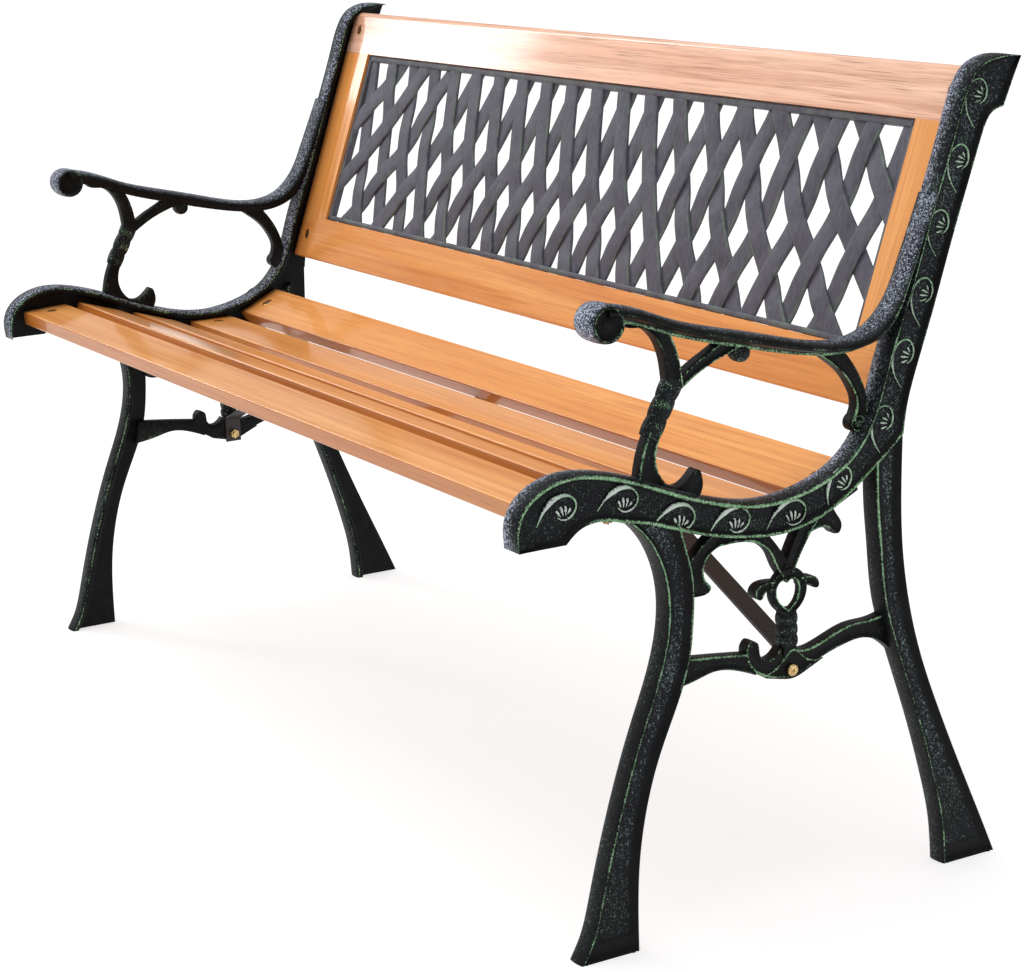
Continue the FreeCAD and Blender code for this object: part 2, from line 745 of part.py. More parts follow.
# ---- build and write every node ----
def write(name, shapes):
    shape = shapes[0] if len(shapes) == 1 else Part.makeCompound(shapes)
    shape.exportStep("parts/" + name + ".step")
    box = shape.BoundBox
    print(name, "solids", len(shape.Solids), "valid", shape.isValid(), "volume", round(shape.Volume),
          [round(v, 1) for v in (box.XMin, box.XMax, box.YMin, box.YMax, box.ZMin, box.ZMax)])


os.makedirs("parts", exist_ok=True)

right_frame = end_frame()
write("right_end_frame", [right_frame])
write("left_end_frame", [mirrored(right_frame)])

slats = [seat_slat(place) for place in slat_places]
batten = centre_batten()
for seat, way in batten_screw_axes():
    batten = batten.cut(hole_along(seat, way, screw_head, -batten_depth - 5.0, 0.0))
    batten = batten.cut(screw_hole(seat, way))
    slats = [slat.cut(screw_hole(seat, way)) for slat in slats]
for seat, way in brace_screw_axes():
    slats[brace_slat] = slats[brace_slat].cut(screw_hole(seat, way))
for number, slat in enumerate(slats, start=1):
    write("seat_slat_" + str(number), [slat])
write("centre_batten", [batten])

lower_bottom, upper_bottom = rail_bottoms()
write("back_lower_rail", [back_rail(lower_bottom)])
write("back_upper_rail", [back_rail(upper_bottom)])
stile = back_stile()
write("back_right_stile", [stile])
write("back_left_stile", [mirrored(stile)])
write("stile_dowels", dowels())
write("lattice_panel", [lattice_panel()])

right_brace = brace()
write("right_brace", [right_brace])
write("left_brace", [mirrored(right_brace)])

write("slat_bolts", slat_bolts())
write("slat_nuts", slat_nuts())
write("back_bolts", back_bolts())
write("back_nuts", back_nuts())
write("brace_bolts", both_sides([brace_bolt()]))
write("brace_nuts", both_sides([brace_nut()]))
write("batten_screws", [wood_screw(seat, way, screw_head_height) for seat, way in batten_screw_axes()])
write("brace_screws", [wood_screw(seat, way, screw_head_height) for seat, way in brace_screw_axes()])
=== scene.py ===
import math

import bpy
import numpy as np
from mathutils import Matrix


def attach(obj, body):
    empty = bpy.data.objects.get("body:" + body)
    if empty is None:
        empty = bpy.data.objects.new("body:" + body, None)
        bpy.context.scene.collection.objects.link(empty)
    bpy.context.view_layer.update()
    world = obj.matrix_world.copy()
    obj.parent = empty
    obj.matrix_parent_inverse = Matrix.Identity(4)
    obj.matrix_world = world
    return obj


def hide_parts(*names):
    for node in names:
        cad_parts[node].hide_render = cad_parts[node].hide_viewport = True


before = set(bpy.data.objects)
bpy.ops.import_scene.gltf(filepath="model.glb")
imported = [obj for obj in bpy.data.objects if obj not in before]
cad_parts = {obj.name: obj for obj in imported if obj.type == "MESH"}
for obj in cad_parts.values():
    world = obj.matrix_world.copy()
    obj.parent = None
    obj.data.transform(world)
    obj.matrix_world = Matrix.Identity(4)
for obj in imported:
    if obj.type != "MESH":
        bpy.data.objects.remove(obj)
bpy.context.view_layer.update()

# Garden bench: +X along the bench, -Y the front, +Z up, origin on the ground at the middle.
mm = 0.001
depthCentre = 213.8  # frame points are (depth, height) in mm from the front foot's front corner


# curves and meshes
# natural cubic spline through the points; its parameter is the running chord length,
# and share is read along its true length
def curveAt(points, share):
    points = np.array(points, float)
    share = np.atleast_1d(np.asarray(share, float))
    if len(points) == 2:
        return points[0] + share[:, None] * (points[1] - points[0])
    knots = np.r_[0, np.cumsum(np.linalg.norm(np.diff(points, axis=0), axis=1))]
    gap = np.diff(knots)
    inner = np.arange(1, len(points) - 1)
    matrix = np.eye(len(points))
    matrix[inner, inner - 1] = gap[:-1]
    matrix[inner, inner] = 2 * (gap[:-1] + gap[1:])
    matrix[inner, inner + 1] = gap[1:]
    slope = np.diff(points, axis=0) / gap[:, None]
    turn = np.zeros_like(points)
    turn[1:-1] = 6 * np.diff(slope, axis=0)
    bend = np.linalg.solve(matrix, turn)

    def read(t):
        k = np.clip(np.searchsorted(knots, t) - 1, 0, len(gap) - 1)
        a = ((knots[k + 1] - t) / gap[k])[:, None]
        b = 1 - a
        curved = ((a**3 - a) * bend[k] + (b**3 - b) * bend[k + 1]) * (gap[k] ** 2)[:, None] / 6
        return a * points[k] + b * points[k + 1] + curved

    fine = np.linspace(0, knots[-1], 30 * len(points))
    length = np.r_[0, np.cumsum(np.linalg.norm(np.diff(read(fine), axis=0), axis=1))]
    return read(np.interp(share * length[-1], length, fine))


# several runs end to end as one dense line, corners kept
def track(*runs):
    return np.vstack([curveAt(run, np.linspace(0, 1, 160)) for run in runs])


def lengthShare(line):
    length = np.r_[0, np.cumsum(np.linalg.norm(np.diff(line, axis=0), axis=1))]
    return length / length[-1]


def onTrack(line, share):
    own = lengthShare(line)
    return np.stack([np.interp(share, own, line[:, i]) for i in range(line.shape[1])], axis=1)


def nearestShare(line, point):
    return lengthShare(line)[np.argmin(np.linalg.norm(line - np.array(point), axis=1))]


def smoothStep(low, high, value):
    t = np.clip((value - low) / (high - low), 0, 1)
    return t * t * (3 - 2 * t)


# x, depth and height in mm become metres in the bench's frame
def place(x, depth, height):
    x, depth, height = np.broadcast_arrays(x, depth, height)
    return np.stack([x, depth - depthCentre, height], axis=-1) * mm


# a closed skin: rows along, ring round, and one flat face at each end
def shell(points, masks):
    rows, ring = points.shape[:2]
    index = np.arange(rows * ring).reshape(rows, ring)
    a, b = index[:-1], index[1:]
    quads = np.stack([a, b, np.roll(b, -1, 1), np.roll(a, -1, 1)], axis=-1).reshape(-1, 4)
    caps = [index[0].tolist(), index[-1][::-1].tolist()]
    flat = points.reshape(-1, 3)
    corner = flat[quads]
    volume = np.einsum("ij,ij->i", corner[:, 0], np.cross(corner[:, 1], corner[:, 2])).sum()
    volume += np.einsum("ij,ij->i", corner[:, 0], np.cross(corner[:, 2], corner[:, 3])).sum()
    for cap in caps:
        rim = flat[cap]
        volume += np.einsum("ij,ij->i", np.repeat(rim[:1], len(rim) - 2, 0),
                            np.cross(rim[1:-1], rim[2:])).sum()
    if volume < 0:
        quads = quads[:, ::-1]
        caps = [cap[::-1] for cap in caps]
    full = {}
    for name in ("rub", "fleckAndSheen", "paintedHighlightMask"):
        value = masks.get(name, 0.0)
        full[name] = np.broadcast_to(value, (rows, ring)).astype(np.float32).reshape(-1)
    return {"points": flat, "quads": quads, "caps": caps, "masks": full}


def mirroredShell(part):
    return {
        "points": part["points"] * [-1, 1, 1],
        "quads": part["quads"][:, ::-1],
        "caps": [cap[::-1] for cap in part["caps"]],
        "masks": part["masks"],
    }


def makeObject(name, parts, material, nodes, sharp=40):
    points = np.vstack([p["points"] for p in parts])
    starts = np.r_[0, np.cumsum([len(p["points"]) for p in parts])]
    faces = []
    for part, start in zip(parts, starts):
        faces += (part["quads"] + start).tolist()
        faces += [[i + int(start) for i in cap] for cap in part["caps"]]
    mesh = bpy.data.meshes.new(name)
    mesh.from_pydata(points.tolist(), [], faces)
    for mask in ("rub", "fleckAndSheen", "paintedHighlightMask"):
        values = np.concatenate([p["masks"][mask] for p in parts])
        mesh.attributes.new(mask, "FLOAT", "POINT").data.foreach_set("value", values)
    mesh.polygons.foreach_set("use_smooth", np.ones(len(mesh.polygons), bool))
    mesh.set_sharp_from_angle(angle=math.radians(sharp))
    mesh.materials.append(material)
    mesh.update()
    made = bpy.data.objects.new(name, mesh)
    bpy.context.scene.collection.objects.link(made)
    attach(made, "root")
    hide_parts(*nodes)
    print("made", name, len(mesh.polygons), "faces")
    return made


# a cast member between two edges: every ring point is (share across, mm further across, x, rub, fleck)
# place = A + (B - A) * share + unit(B - A) * mm, and the mm shrink where it is narrower than full
def castMember(edgeA, edgeB, ring, full):
    across = edgeB - edgeA
    width = np.linalg.norm(across, axis=1)
    unit = across / np.maximum(width, 1e-6)[:, None]
    shrink = np.minimum(1.0, width / full)
    share, further, x, rub, fleckAndSheen = (
        np.stack([np.broadcast_to(point[i], len(edgeA)) for point in ring], 1) for i in range(5))
    further = further * shrink[:, None]
    flat = edgeA[:, None] + across[:, None] * share[..., None] + unit[:, None] * further[..., None]
    return shell(place(x, flat[..., 0], flat[..., 1]), {"rub": rub, "fleckAndSheen": fleckAndSheen})


# materials
def newMaterial(name):
    material = bpy.data.materials.new(name)
    material.use_nodes = True
    tree = material.node_tree
    tree.nodes.clear()
    out = tree.nodes.new("ShaderNodeOutputMaterial")
    skin = tree.nodes.new("ShaderNodeBsdfPrincipled")
    tree.links.new(skin.outputs[0], out.inputs[0])
    return material, tree, skin


def node(tree, kind, inputs=None, **settings):
    made = tree.nodes.new(kind)
    for key, value in settings.items():
        setattr(made, key, value)
    for key, value in (inputs or {}).items():
        if isinstance(value, bpy.types.NodeSocket):
            tree.links.new(value, made.inputs[key])
        else:
            made.inputs[key].default_value = value
    return made


# object coordinates in metres, turned and then stretched
def objectPattern(tree, scale, turn=(0, 0, 0)):
    where = node(tree, "ShaderNodeTexCoord").outputs["Object"]
    turned = node(tree, "ShaderNodeMapping", {"Vector": where, "Rotation": turn}).outputs[0]
    return node(tree, "ShaderNodeMapping", {"Vector": turned, "Scale": scale}).outputs[0]


def noise(tree, vector, scale, detail=3.0, roughness=0.5, distortion=0.0):
    made = node(tree, "ShaderNodeTexNoise", {"Vector": vector, "Scale": scale, "Detail": detail,
                                             "Roughness": roughness, "Distortion": distortion})
    return made.outputs["Fac"]


def ramp(tree, value, stops):
    made = node(tree, "ShaderNodeValToRGB", {"Fac": value})
    marks = made.color_ramp.elements
    while len(marks) < len(stops):
        marks.new(0.5)
    for mark, (at, colour) in zip(marks, stops):
        mark.position = at
        mark.color = (*colour, 1) if isinstance(colour, tuple) else (colour, colour, colour, 1)
    return made.outputs[0]


def blendColours(tree, share, first, second):
    made = node(tree, "ShaderNodeMix", data_type="RGBA")
    for socket, value in ((made.inputs[0], share), (made.inputs[6], first), (made.inputs[7], second)):
        if isinstance(value, bpy.types.NodeSocket):
            tree.links.new(value, socket)
        else:
            socket.default_value = (*value, 1) if isinstance(value, tuple) else value
    return made.outputs[2]


def arith(tree, kind, first, second=0.0, clamp=False):
    made = node(tree, "ShaderNodeMath", operation=kind, use_clamp=clamp)
    for socket, value in zip(made.inputs, (first, second)):
        if isinstance(value, bpy.types.NodeSocket):
            tree.links.new(value, socket)
        else:
            socket.default_value = value
    return made.outputs[0]


def attribute(tree, name):
    return node(tree, "ShaderNodeAttribute", attribute_name=name).outputs["Fac"]


def addBump(tree, skin, height, strength, distance):
    bump = node(tree, "ShaderNodeBump", {"Height": height, "Strength": strength, "Distance": distance})
    tree.links.new(bump.outputs[0], skin.inputs["Normal"])


# sheen and the silver colour are painted highlights on the rolled flanges; the bright whitish colour is a
# painted highlight on the ornaments' crests
castPaint = {
    "black": (0.0025, 0.0026, 0.0030), "worn": (0.0065, 0.0070, 0.0080), "sheen": (0.026, 0.030, 0.046),
    "silverGlint": (0.50, 0.55, 0.70), "moss": (0.095, 0.175, 0.105), "green": (0.15, 0.33, 0.16),
    "paleGreen": (0.42, 0.60, 0.40), "paintedHighlight": (0.62, 0.68, 0.64), "hammerSize": 430.0, "speckSize": 700.0,
}


# near-black hammered paint: moss-grey specks, which turn to painted silver glints and a bluish painted
# sheen on the rolled flanges, nose, arm top and roll; ragged green rubbed along the raised lines, with a
# painted whitish highlight on the ornaments' crests
def makeCastPaint():
    c = castPaint
    material, tree, skin = newMaterial("hammeredBlack")
    where = objectPattern(tree, (1, 1, 1))
    hammer = noise(tree, where, c["hammerSize"], 2.0, 0.6)
    fine = noise(tree, where, c["speckSize"], 2.0, 0.6)
    broad = noise(tree, where, 42.0, 3.0, 0.6)
    patch = noise(tree, where, 17.0, 2.0, 0.5)
    rub, fleckAndSheen, paintedHighlightMask = (attribute(tree, name) for name in ("rub", "fleckAndSheen", "paintedHighlightMask"))
    base = blendColours(tree, ramp(tree, broad, [(0.35, 0.0), (0.7, 1.0)]), c["black"], c["worn"])
    # painted sheen: a bluish painted highlight colour laid over the hammer noise where the fleck-and-sheen
    # mask is high (rolled flanges, nose, arm top and roll)
    smoothAndSheen = arith(tree, "MULTIPLY", fleckAndSheen, fleckAndSheen)
    glint = arith(tree, "MULTIPLY", smoothAndSheen, ramp(tree, hammer, [(0.35, 0.25), (0.65, 1.0)]))
    base = blendColours(tree, glint, base, c["sheen"])
    # specks gather where both noises are high, and spread as the fleck-and-sheen mask grows; where the mask
    # is high they turn to painted silver glints
    height = arith(tree, "ADD", arith(tree, "MULTIPLY", fine, 0.62), arith(tree, "MULTIPLY", hammer, 0.38))
    height = arith(tree, "ADD", height, arith(tree, "MULTIPLY", fleckAndSheen, 0.115))
    height = arith(tree, "ADD", height, arith(tree, "MULTIPLY", arith(tree, "SUBTRACT", patch, 0.5), 0.16))
    speckle = arith(tree, "MULTIPLY", ramp(tree, height, [(0.60, 0.0), (0.71, 1.0)]),
                    ramp(tree, fleckAndSheen, [(0.0, 0.0), (0.5, 0.75), (1.0, 1.0)]))
    speckAndGlintColour = blendColours(tree, smoothAndSheen, c["moss"], c["silverGlint"])
    base = blendColours(tree, speckle, base, speckAndGlintColour)
    ragged = arith(tree, "ADD", rub, arith(tree, "MULTIPLY", arith(tree, "SUBTRACT", fine, 0.5), 2.3))
    ragged = arith(tree, "ADD", ragged, arith(tree, "MULTIPLY", arith(tree, "SUBTRACT", broad, 0.5), 1.5))
    bare = ramp(tree, ragged, [(0.50, 0.0), (0.95, 1.0)])
    bare = arith(tree, "MULTIPLY", bare, ramp(tree, rub, [(0.08, 0.0), (0.45, 1.0)]), True)
    rubAndHighlight = blendColours(tree, ramp(tree, hammer, [(0.42, 0.0), (0.66, 1.0)]), c["green"], c["paleGreen"])
    # painted highlight: the rubbed green turns whitish along the ornaments' crests
    rubAndHighlight = blendColours(tree, paintedHighlightMask, rubAndHighlight, c["paintedHighlight"])
    base = blendColours(tree, bare, base, rubAndHighlight)
    tree.links.new(base, skin.inputs["Base Color"])
    rough = arith(tree, "SUBTRACT", 0.46, arith(tree, "MULTIPLY", smoothAndSheen, 0.12))
    tree.links.new(arith(tree, "ADD", rough, arith(tree, "MULTIPLY", bare, 0.15)), skin.inputs["Roughness"])
    dent = arith(tree, "ADD", hammer, arith(tree, "MULTIPLY", fine, 0.5))
    depth = arith(tree, "ADD", 0.3, arith(tree, "MULTIPLY", fleckAndSheen, 0.7), True)
    addBump(tree, skin, dent, depth, 0.0009)
    skin.inputs["Specular IOR Level"].default_value = 0.11
    return material


hammeredBlack = makeCastPaint()
print("materials ready")


# end frame
sideX = {"rim": 610.0, "web": 606.0, "webInside": 597.0, "flangeInside": 585.0, "legInside": 588.0,
         "scrollOutside": 601.0, "scrollInside": 588.0, "armOutside": 617.0, "armInside": 584.0}

railShape = {
    "top": [(-51, 380), (-52.5, 398), (-46, 415.5), (-28, 430), (0, 437), (30, 434), (70, 422), (110, 406),
            (150, 392.5), (200, 383.5), (250, 390), (290, 408.5), (314, 437), (333, 488), (359, 556),
            (383, 625), (408, 695), (420, 727), (432, 743), (450, 750.5), (481, 750.5)],
    "noseUnder": [(-51, 380), (-5, 380)],
    "noseArc": [(-5, 380), (8, 390.5), (24, 394.5), (40, 393), (52, 389.5)],
    "under": [(52, 389.5), (70, 386), (100, 376.5), (140, 363.5), (180, 355.5), (212, 353), (240, 356),
              (265, 363.5), (290, 377), (310, 391), (338, 412.5), (351.5, 424)],
    "rear": [(351.5, 424), (355, 448), (365, 481), (383, 530), (400, 580), (420, 636), (439.5, 689)],
    "throat": [(439.5, 689), (449, 702.5), (462, 707)],
    "hook": [(462, 707), (481, 750.5)],
    # points of the two edges that lie across from each other
    "across": [((-52.3, 392), (-38, 380)), ((-49, 409), (-22, 380)), ((-38, 424), (-5, 380)),
               ((-18, 434), (9, 391)), ((0, 437), (22, 394)), ((30, 434), (40, 393)),
               ((70, 422), (62, 388)), ((110, 406), (99, 377)), ((150, 392.5), (143, 363)),
               ((200, 383.5), (202, 353)), ((250, 390), (262, 362)), ((290, 408.5), (310, 391)),
               ((306, 425), (335, 410)), ((316, 442), (351.5, 424)), ((333, 488), (361, 470)),
               ((359, 556), (388, 545)), ((383, 625), (411, 611)), ((408, 695), (436, 679)),
               ((416, 718), (443, 695)), ((424, 733), (451, 703.5)), ((432, 743), (461.5, 706.5)),
               ((450, 750.5), (469, 723))],
    "rows": 820, "bulge": 2.7, "full": 30.0,
}


def pairedEdges(lineA, lineB, across, rows):
    knotA = np.array([0] + [nearestShare(lineA, a) for a, b in across] + [1])
    knotB = np.array([0] + [nearestShare(lineB, b) for a, b in across] + [1])
    share = np.linspace(0, 1, rows)
    return onTrack(lineA, share), onTrack(lineB, np.interp(share, knotA, knotB))


# ring of the rolled front: from the rim's crest over the web to the far rim, back inside,
# and round the rolled edge
# boldA and boldB say how far the rubbed green spreads from each rim's crest
def railRing(s, inside, bulge, wallA, wallB, rubA, rubB, floorX, floorFleck, boldA, boldB, roll=1.0):
    rim, web, webIn = s["rim"], floorX, s["webInside"]
    span = rim - inside
    return [
        (0, -0.5, rim - 1.8, 0.1 * boldA, 0.5 * roll), (0, 0.1, rim - 0.5, 0.6 * rubA * boldA, 0.3),
        (0, 1.2, rim, rubA, 0), (0, 2.4, rim - 0.2, rubA * (0.2 + 0.8 * boldA), 0),
        (0, 3.4, rim - 1.0, 0.5 * rubA * boldA, 0.1), (0, 3.2 + 0.55 * wallA, web + 1.0, 0, 0.1),
        (0, 3.4 + wallA, web + 0.1, 0, 0.3), (0, 5.5 + wallA, web, 0, floorFleck),
        (0.3, 2.0, web, 0, floorFleck), (0.42, 0, web, 0, floorFleck), (0.55, 0, web, 0, floorFleck),
        (0.7, -2.0, web, 0, floorFleck), (1, -5.5 - wallB, web, 0, floorFleck),
        (1, -3.4 - wallB, web + 0.1, 0, 0.3), (1, -3.2 - 0.5 * wallB, web + 1.1, 0, 0),
        (1, -3.2, rim - 1.0, 0.4 * rubB * boldB, 0), (1, -2.3, rim - 0.2, rubB * (0.2 + 0.8 * boldB), 0),
        (1, -1.1, rim, rubB, 0), (1, -0.2, rim - 0.6, 0.7 * rubB * boldB, 0),
        (1, 0, rim - 1.8, 0.2 * rubB * boldB, 0.1), (1, 0, 603.0, 0, 0.2), (1, 0, webIn + 1.2, 0, 0.1),
        (1, -0.5, webIn + 0.3, 0.3 * rubB, 0), (1, -1.5, webIn, 0.1, 0), (1, -6, webIn, 0, 0.1),
        (0.6, 0, webIn, 0, 0.1), (0, 13.0, webIn, 0, 0.1), (0, 10.0, webIn - 0.5, 0, 0),
        (0, 8.6, webIn - 1.8, 0, 0), (0, 8.0, webIn - 4.0, 0, 0), (0, 7.4, inside + 2.4, 0, 0),
        (0, 6.4, inside + 0.6, 0.1, 0), (0, 5.0, inside, 0.1, 0.1), (0, 3.0, inside, 0.2, 0.3),
        (0, 1.4, inside + 0.3, 0.6, 0.6 * roll), (0, 0.1 - 0.1 * bulge, inside + 0.06 * span, 0.1, roll),
        (0, -0.5 * bulge, inside + 0.14 * span, 0, roll), (0, -0.82 * bulge, inside + 0.26 * span, 0, roll),
        (0, -bulge, inside + 0.4 * span, 0, 0.95 * roll), (0, -bulge, inside + 0.54 * span, 0, 0.8 * roll),
        (0, -0.88 * bulge, inside + 0.68 * span, 0, 0.62 * roll),
        (0, -0.66 * bulge, inside + 0.8 * span, 0, 0.5 * roll),
        (0, -0.4 * bulge - 0.1, inside + 0.88 * span, 0.05 * boldA, 0.5 * roll),
    ]


def makeRail():
    r = railShape
    top = track(r["top"])
    under = track(r["noseUnder"], r["noseArc"], r["under"], r["rear"], r["throat"], r["hook"])
    edgeA, edgeB = pairedEdges(top, under, r["across"], r["rows"])
    post = smoothStep(270, 345, edgeA[:, 0])
    noseUnder = smoothStep(30, 5, edgeB[:, 0]) * smoothStep(420, 400, edgeB[:, 1])
    rubB = 0.85 - 0.6 * noseUnder - 0.2 * post
    ring = railRing(sideX, sideX["flangeInside"], r["bulge"], 3.0, 2.6, 1.0 - 0.18 * post, rubB,
                    sideX["web"], 0.4 + 0.1 * post, 1 - post, 1 - 0.9 * np.maximum(post, noseUnder))
    return castMember(edgeA, edgeB, ring, r["full"])


legShapes = {
    "front": {
        "front": [(53, 393), (70, 378.5), (87, 352), (95.5, 318), (93, 278), (82, 240), (66, 200),
                  (46.5, 145), (33, 100), (20, 50), (10, 18), (0, 0)],
        "back": [(109, 380), (115, 358), (121.5, 332), (122, 294), (116, 252), (102, 215), (83, 172),
                 (70, 130), (62, 84), (59.5, 40), (59.5, 0)],
    },
    "rear": {
        "front": [(321, 402), (321.5, 364), (325, 325), (331, 272), (341, 236), (357, 190), (375, 137),
                  (391, 82), (400, 42), (403.5, 0)],
        "back": [(350.5, 422.5), (349.5, 375), (351, 325), (359, 268), (373, 215), (396, 155), (422, 95),
                 (450, 33), (464.5, 0)],
    },
    "rows": 300, "bulge": 1.5, "full": 24.0, "ridge": {"height": 15, "spread": 3.0, "rise": 1.3},
}


def makeLeg(which):
    shape = legShapes[which]
    edgeA = curveAt(shape["front"], np.linspace(0, 1, legShapes["rows"]))
    edgeB = curveAt(shape["back"], np.linspace(0, 1, legShapes["rows"]))
    edgeA[-1, 1] = edgeB[-1, 1] = 0.0
    height = (edgeA[:, 1] + edgeB[:, 1]) / 2
    foot = smoothStep(20, 12, height)
    # the pocket's floor has a low ridge above the foot and closes up at the ground
    ridge = legShapes["ridge"]
    low = ridge["rise"] * np.exp(-((height - ridge["height"]) / ridge["spread"]) ** 2)
    closing = (sideX["rim"] - sideX["web"] - 0.6) * smoothStep(5, 1.5, height)
    floorX = sideX["web"] + 0.4 + low + closing
    upper = smoothStep(240, 330, height)
    wallA = 1.5 + 5.0 * upper
    wallB = 5.5 + 1.5 * upper
    rubA = 0.75 + 0.3 * upper
    rubB = (0.9 * smoothStep(225, 250, height) + 0.15) if which == "front" else 0.25
    fleckAndSheen = 0.42 + 0.12 * smoothStep(60, 120, height) - 0.3 * foot
    ring = railRing(sideX, sideX["legInside"], legShapes["bulge"], wallA, wallB, rubA, rubB, floorX, fleckAndSheen,
                    0.25 + 0.5 * upper, 0.4, 0.45)
    return castMember(edgeA, edgeB, ring, legShapes["full"])


armShape = {
    "top": [(37.5, 578), (60, 573.5), (80, 567), (110, 555.5), (150, 544.5), (200, 532.5), (250, 520.5),
            (285, 517), (312, 522), (333, 536), (348.5, 556), (358.5, 577), (367.4, 597), (376.4, 617),
            (385.4, 637)],
    "bottom": [(37.5, 561.5), (60, 558), (80, 552.5), (110, 541.5), (150, 530), (200, 517.5), (250, 507),
               (285, 503.5), (310, 506), (335, 517), (353, 540), (364.5, 565), (373.5, 588), (381, 609),
               (388, 631)],
    "roll": (37.5, 561.5), "rollRadius": 17.0, "rows": 260,
}


# mushroom section: share of the thickness from the top, and x; a broad crown over a narrow rib
def makeArm():
    top = curveAt(armShape["top"], np.linspace(0, 1, armShape["rows"]))
    bottom = curveAt(armShape["bottom"], np.linspace(0, 1, armShape["rows"]))
    s = sideX
    out, inn, mid = s["armOutside"], s["armInside"], (s["armOutside"] + s["armInside"]) / 2
    ribOut, ribIn = s["scrollOutside"] + 0.5, s["scrollInside"] - 0.5
    rear = smoothStep(0.66, 0.84, np.linspace(0, 1, armShape["rows"]))
    edge = out - (out - s["rim"]) * rear
    ring = [
        (0.0, -0.3, mid, 0, 0.9), (0.01, 0, mid + 5, 0, 0.9), (0.06, 0, mid + 9.5, 0, 0.8),
        (0.15, 0, mid + 13, 0, 0.5), (0.28, 0, edge - 1.1, 0, 0.2),
        (0.38, 0, edge - 0.2, 0.25 + 0.6 * rear, 0.05), (0.47, 0, edge - 0.1, 0.3 + 0.6 * rear, 0),
        (0.56, 0, edge - 1.0, 0.1, 0), (0.64, 0, edge - 4, 0, 0), (0.70, 0, edge - 8, 0, 0.1),
        (0.76, 0, ribOut + 2.2, 0.2, 0.4), (0.84, 0, ribOut + 0.9, 0.6, 0.6),
        (0.94, 0, ribOut + 0.4, 0.75, 0.5), (1.0, 0, ribOut - 0.8, 0.6, 0.4),
        (1.02, 0, (ribOut + ribIn) / 2, 0.1, 0.3), (1.0, 0, ribIn + 0.8, 0.3, 0.2),
        (0.92, 0, ribIn, 0.2, 0.2), (0.8, 0, ribIn - 0.4, 0, 0.1), (0.66, 0, inn + 1.6, 0, 0),
        (0.55, 0, inn + 0.4, 0, 0), (0.44, 0, inn, 0.1, 0.1), (0.32, 0, inn + 0.5, 0, 0.4),
        (0.18, 0, inn + 2.8, 0, 0.7), (0.07, 0, mid - 9.5, 0, 0.9), (0.01, 0, mid - 5, 0, 0.9),
    ]
    return castMember(top, bottom, ring, 1.0)


# a turned piece on an axis along x: profile of (radius, x, rub, fleck), carried round a circle
def turnedX(centre, profile, steps):
    radius, x, rub, fleckAndSheen = np.array(profile, float).T[:, :, None]
    angle = np.linspace(0, 2 * np.pi, steps, endpoint=False)[None, :]
    points = place(x, centre[0] + radius * np.cos(angle), centre[1] + radius * np.sin(angle))
    return shell(points, {"rub": rub, "fleckAndSheen": fleckAndSheen})


def makeArmRoll():
    r = armShape["rollRadius"]
    out, inn = sideX["armOutside"], sideX["armInside"]
    profile = [
        (0.3, out - 2.6, 0, 0.1), (2.5, out - 2.4, 0.2, 0.3), (4.5, out - 3.2, 0, 0), (7, out - 4.2, 0, 0),
        (10, out - 4.0, 0, 0), (12.2, out - 2.6, 0, 0), (13.2, out - 0.9, 0.5, 0),
        (14.0, out - 0.2, 0.7, 0), (14.9, out - 0.4, 0.3, 0.3), (15.9, out - 2.0, 0, 0.8),
        (r - 0.4, out - 5, 0, 1), (r, out - 10, 0, 1), (r + 0.2, out - 16, 0, 1), (r, inn + 10, 0, 1),
        (r - 0.4, inn + 5, 0, 1), (15.9, inn + 2.0, 0, 0.8), (14.9, inn + 0.4, 0.2, 0.3),
        (14.0, inn + 0.2, 0.4, 0), (13.2, inn + 0.9, 0.2, 0), (12.2, inn + 2.6, 0, 0), (7, inn + 4.2, 0, 0),
        (3, inn + 3, 0, 0), (0.3, inn + 2.8, 0, 0),
    ]
    return turnedX(armShape["roll"], profile, 64)


# ring of the scrollwork: a raised line along both edges and a shallow groove between them
def scrollRing(rubA, rubB, groove=1.3, inn=sideX["scrollInside"]):
    out = sideX["scrollOutside"]
    return [
        (0, 0, out - 2.2, 0.1, 0.2), (0, 0.25, out - 1.0, 0.5 * rubA, 0), (0, 0.9, out - 0.1, rubA, 0),
        (0, 1.8, out, rubA, 0), (0, 2.7, out - 0.4, 0.4 * rubA, 0), (0.22, 1.4, out - groove, 0, 0.1),
        (0.5, 0, out - groove - 0.2, 0, 0.3), (0.78, -1.4, out - groove, 0, 0.1),
        (1, -2.7, out - 0.4, 0.4 * rubB, 0), (1, -1.8, out, rubB, 0), (1, -0.9, out - 0.1, rubB, 0),
        (1, -0.25, out - 1.0, 0.5 * rubB, 0), (1, 0, out - 2.2, 0.1, 0.2), (1, 0, inn + 2.0, 0, 0.2),
        (1, -0.5, inn + 0.6, 0.2, 0), (1, -1.8, inn, 0.3, 0), (0.5, 0, inn - 0.2, 0, 0.2),
        (0, 1.8, inn, 0.3, 0), (0, 0.5, inn + 0.6, 0.2, 0), (0, 0, inn + 2.0, 0, 0.2),
    ]


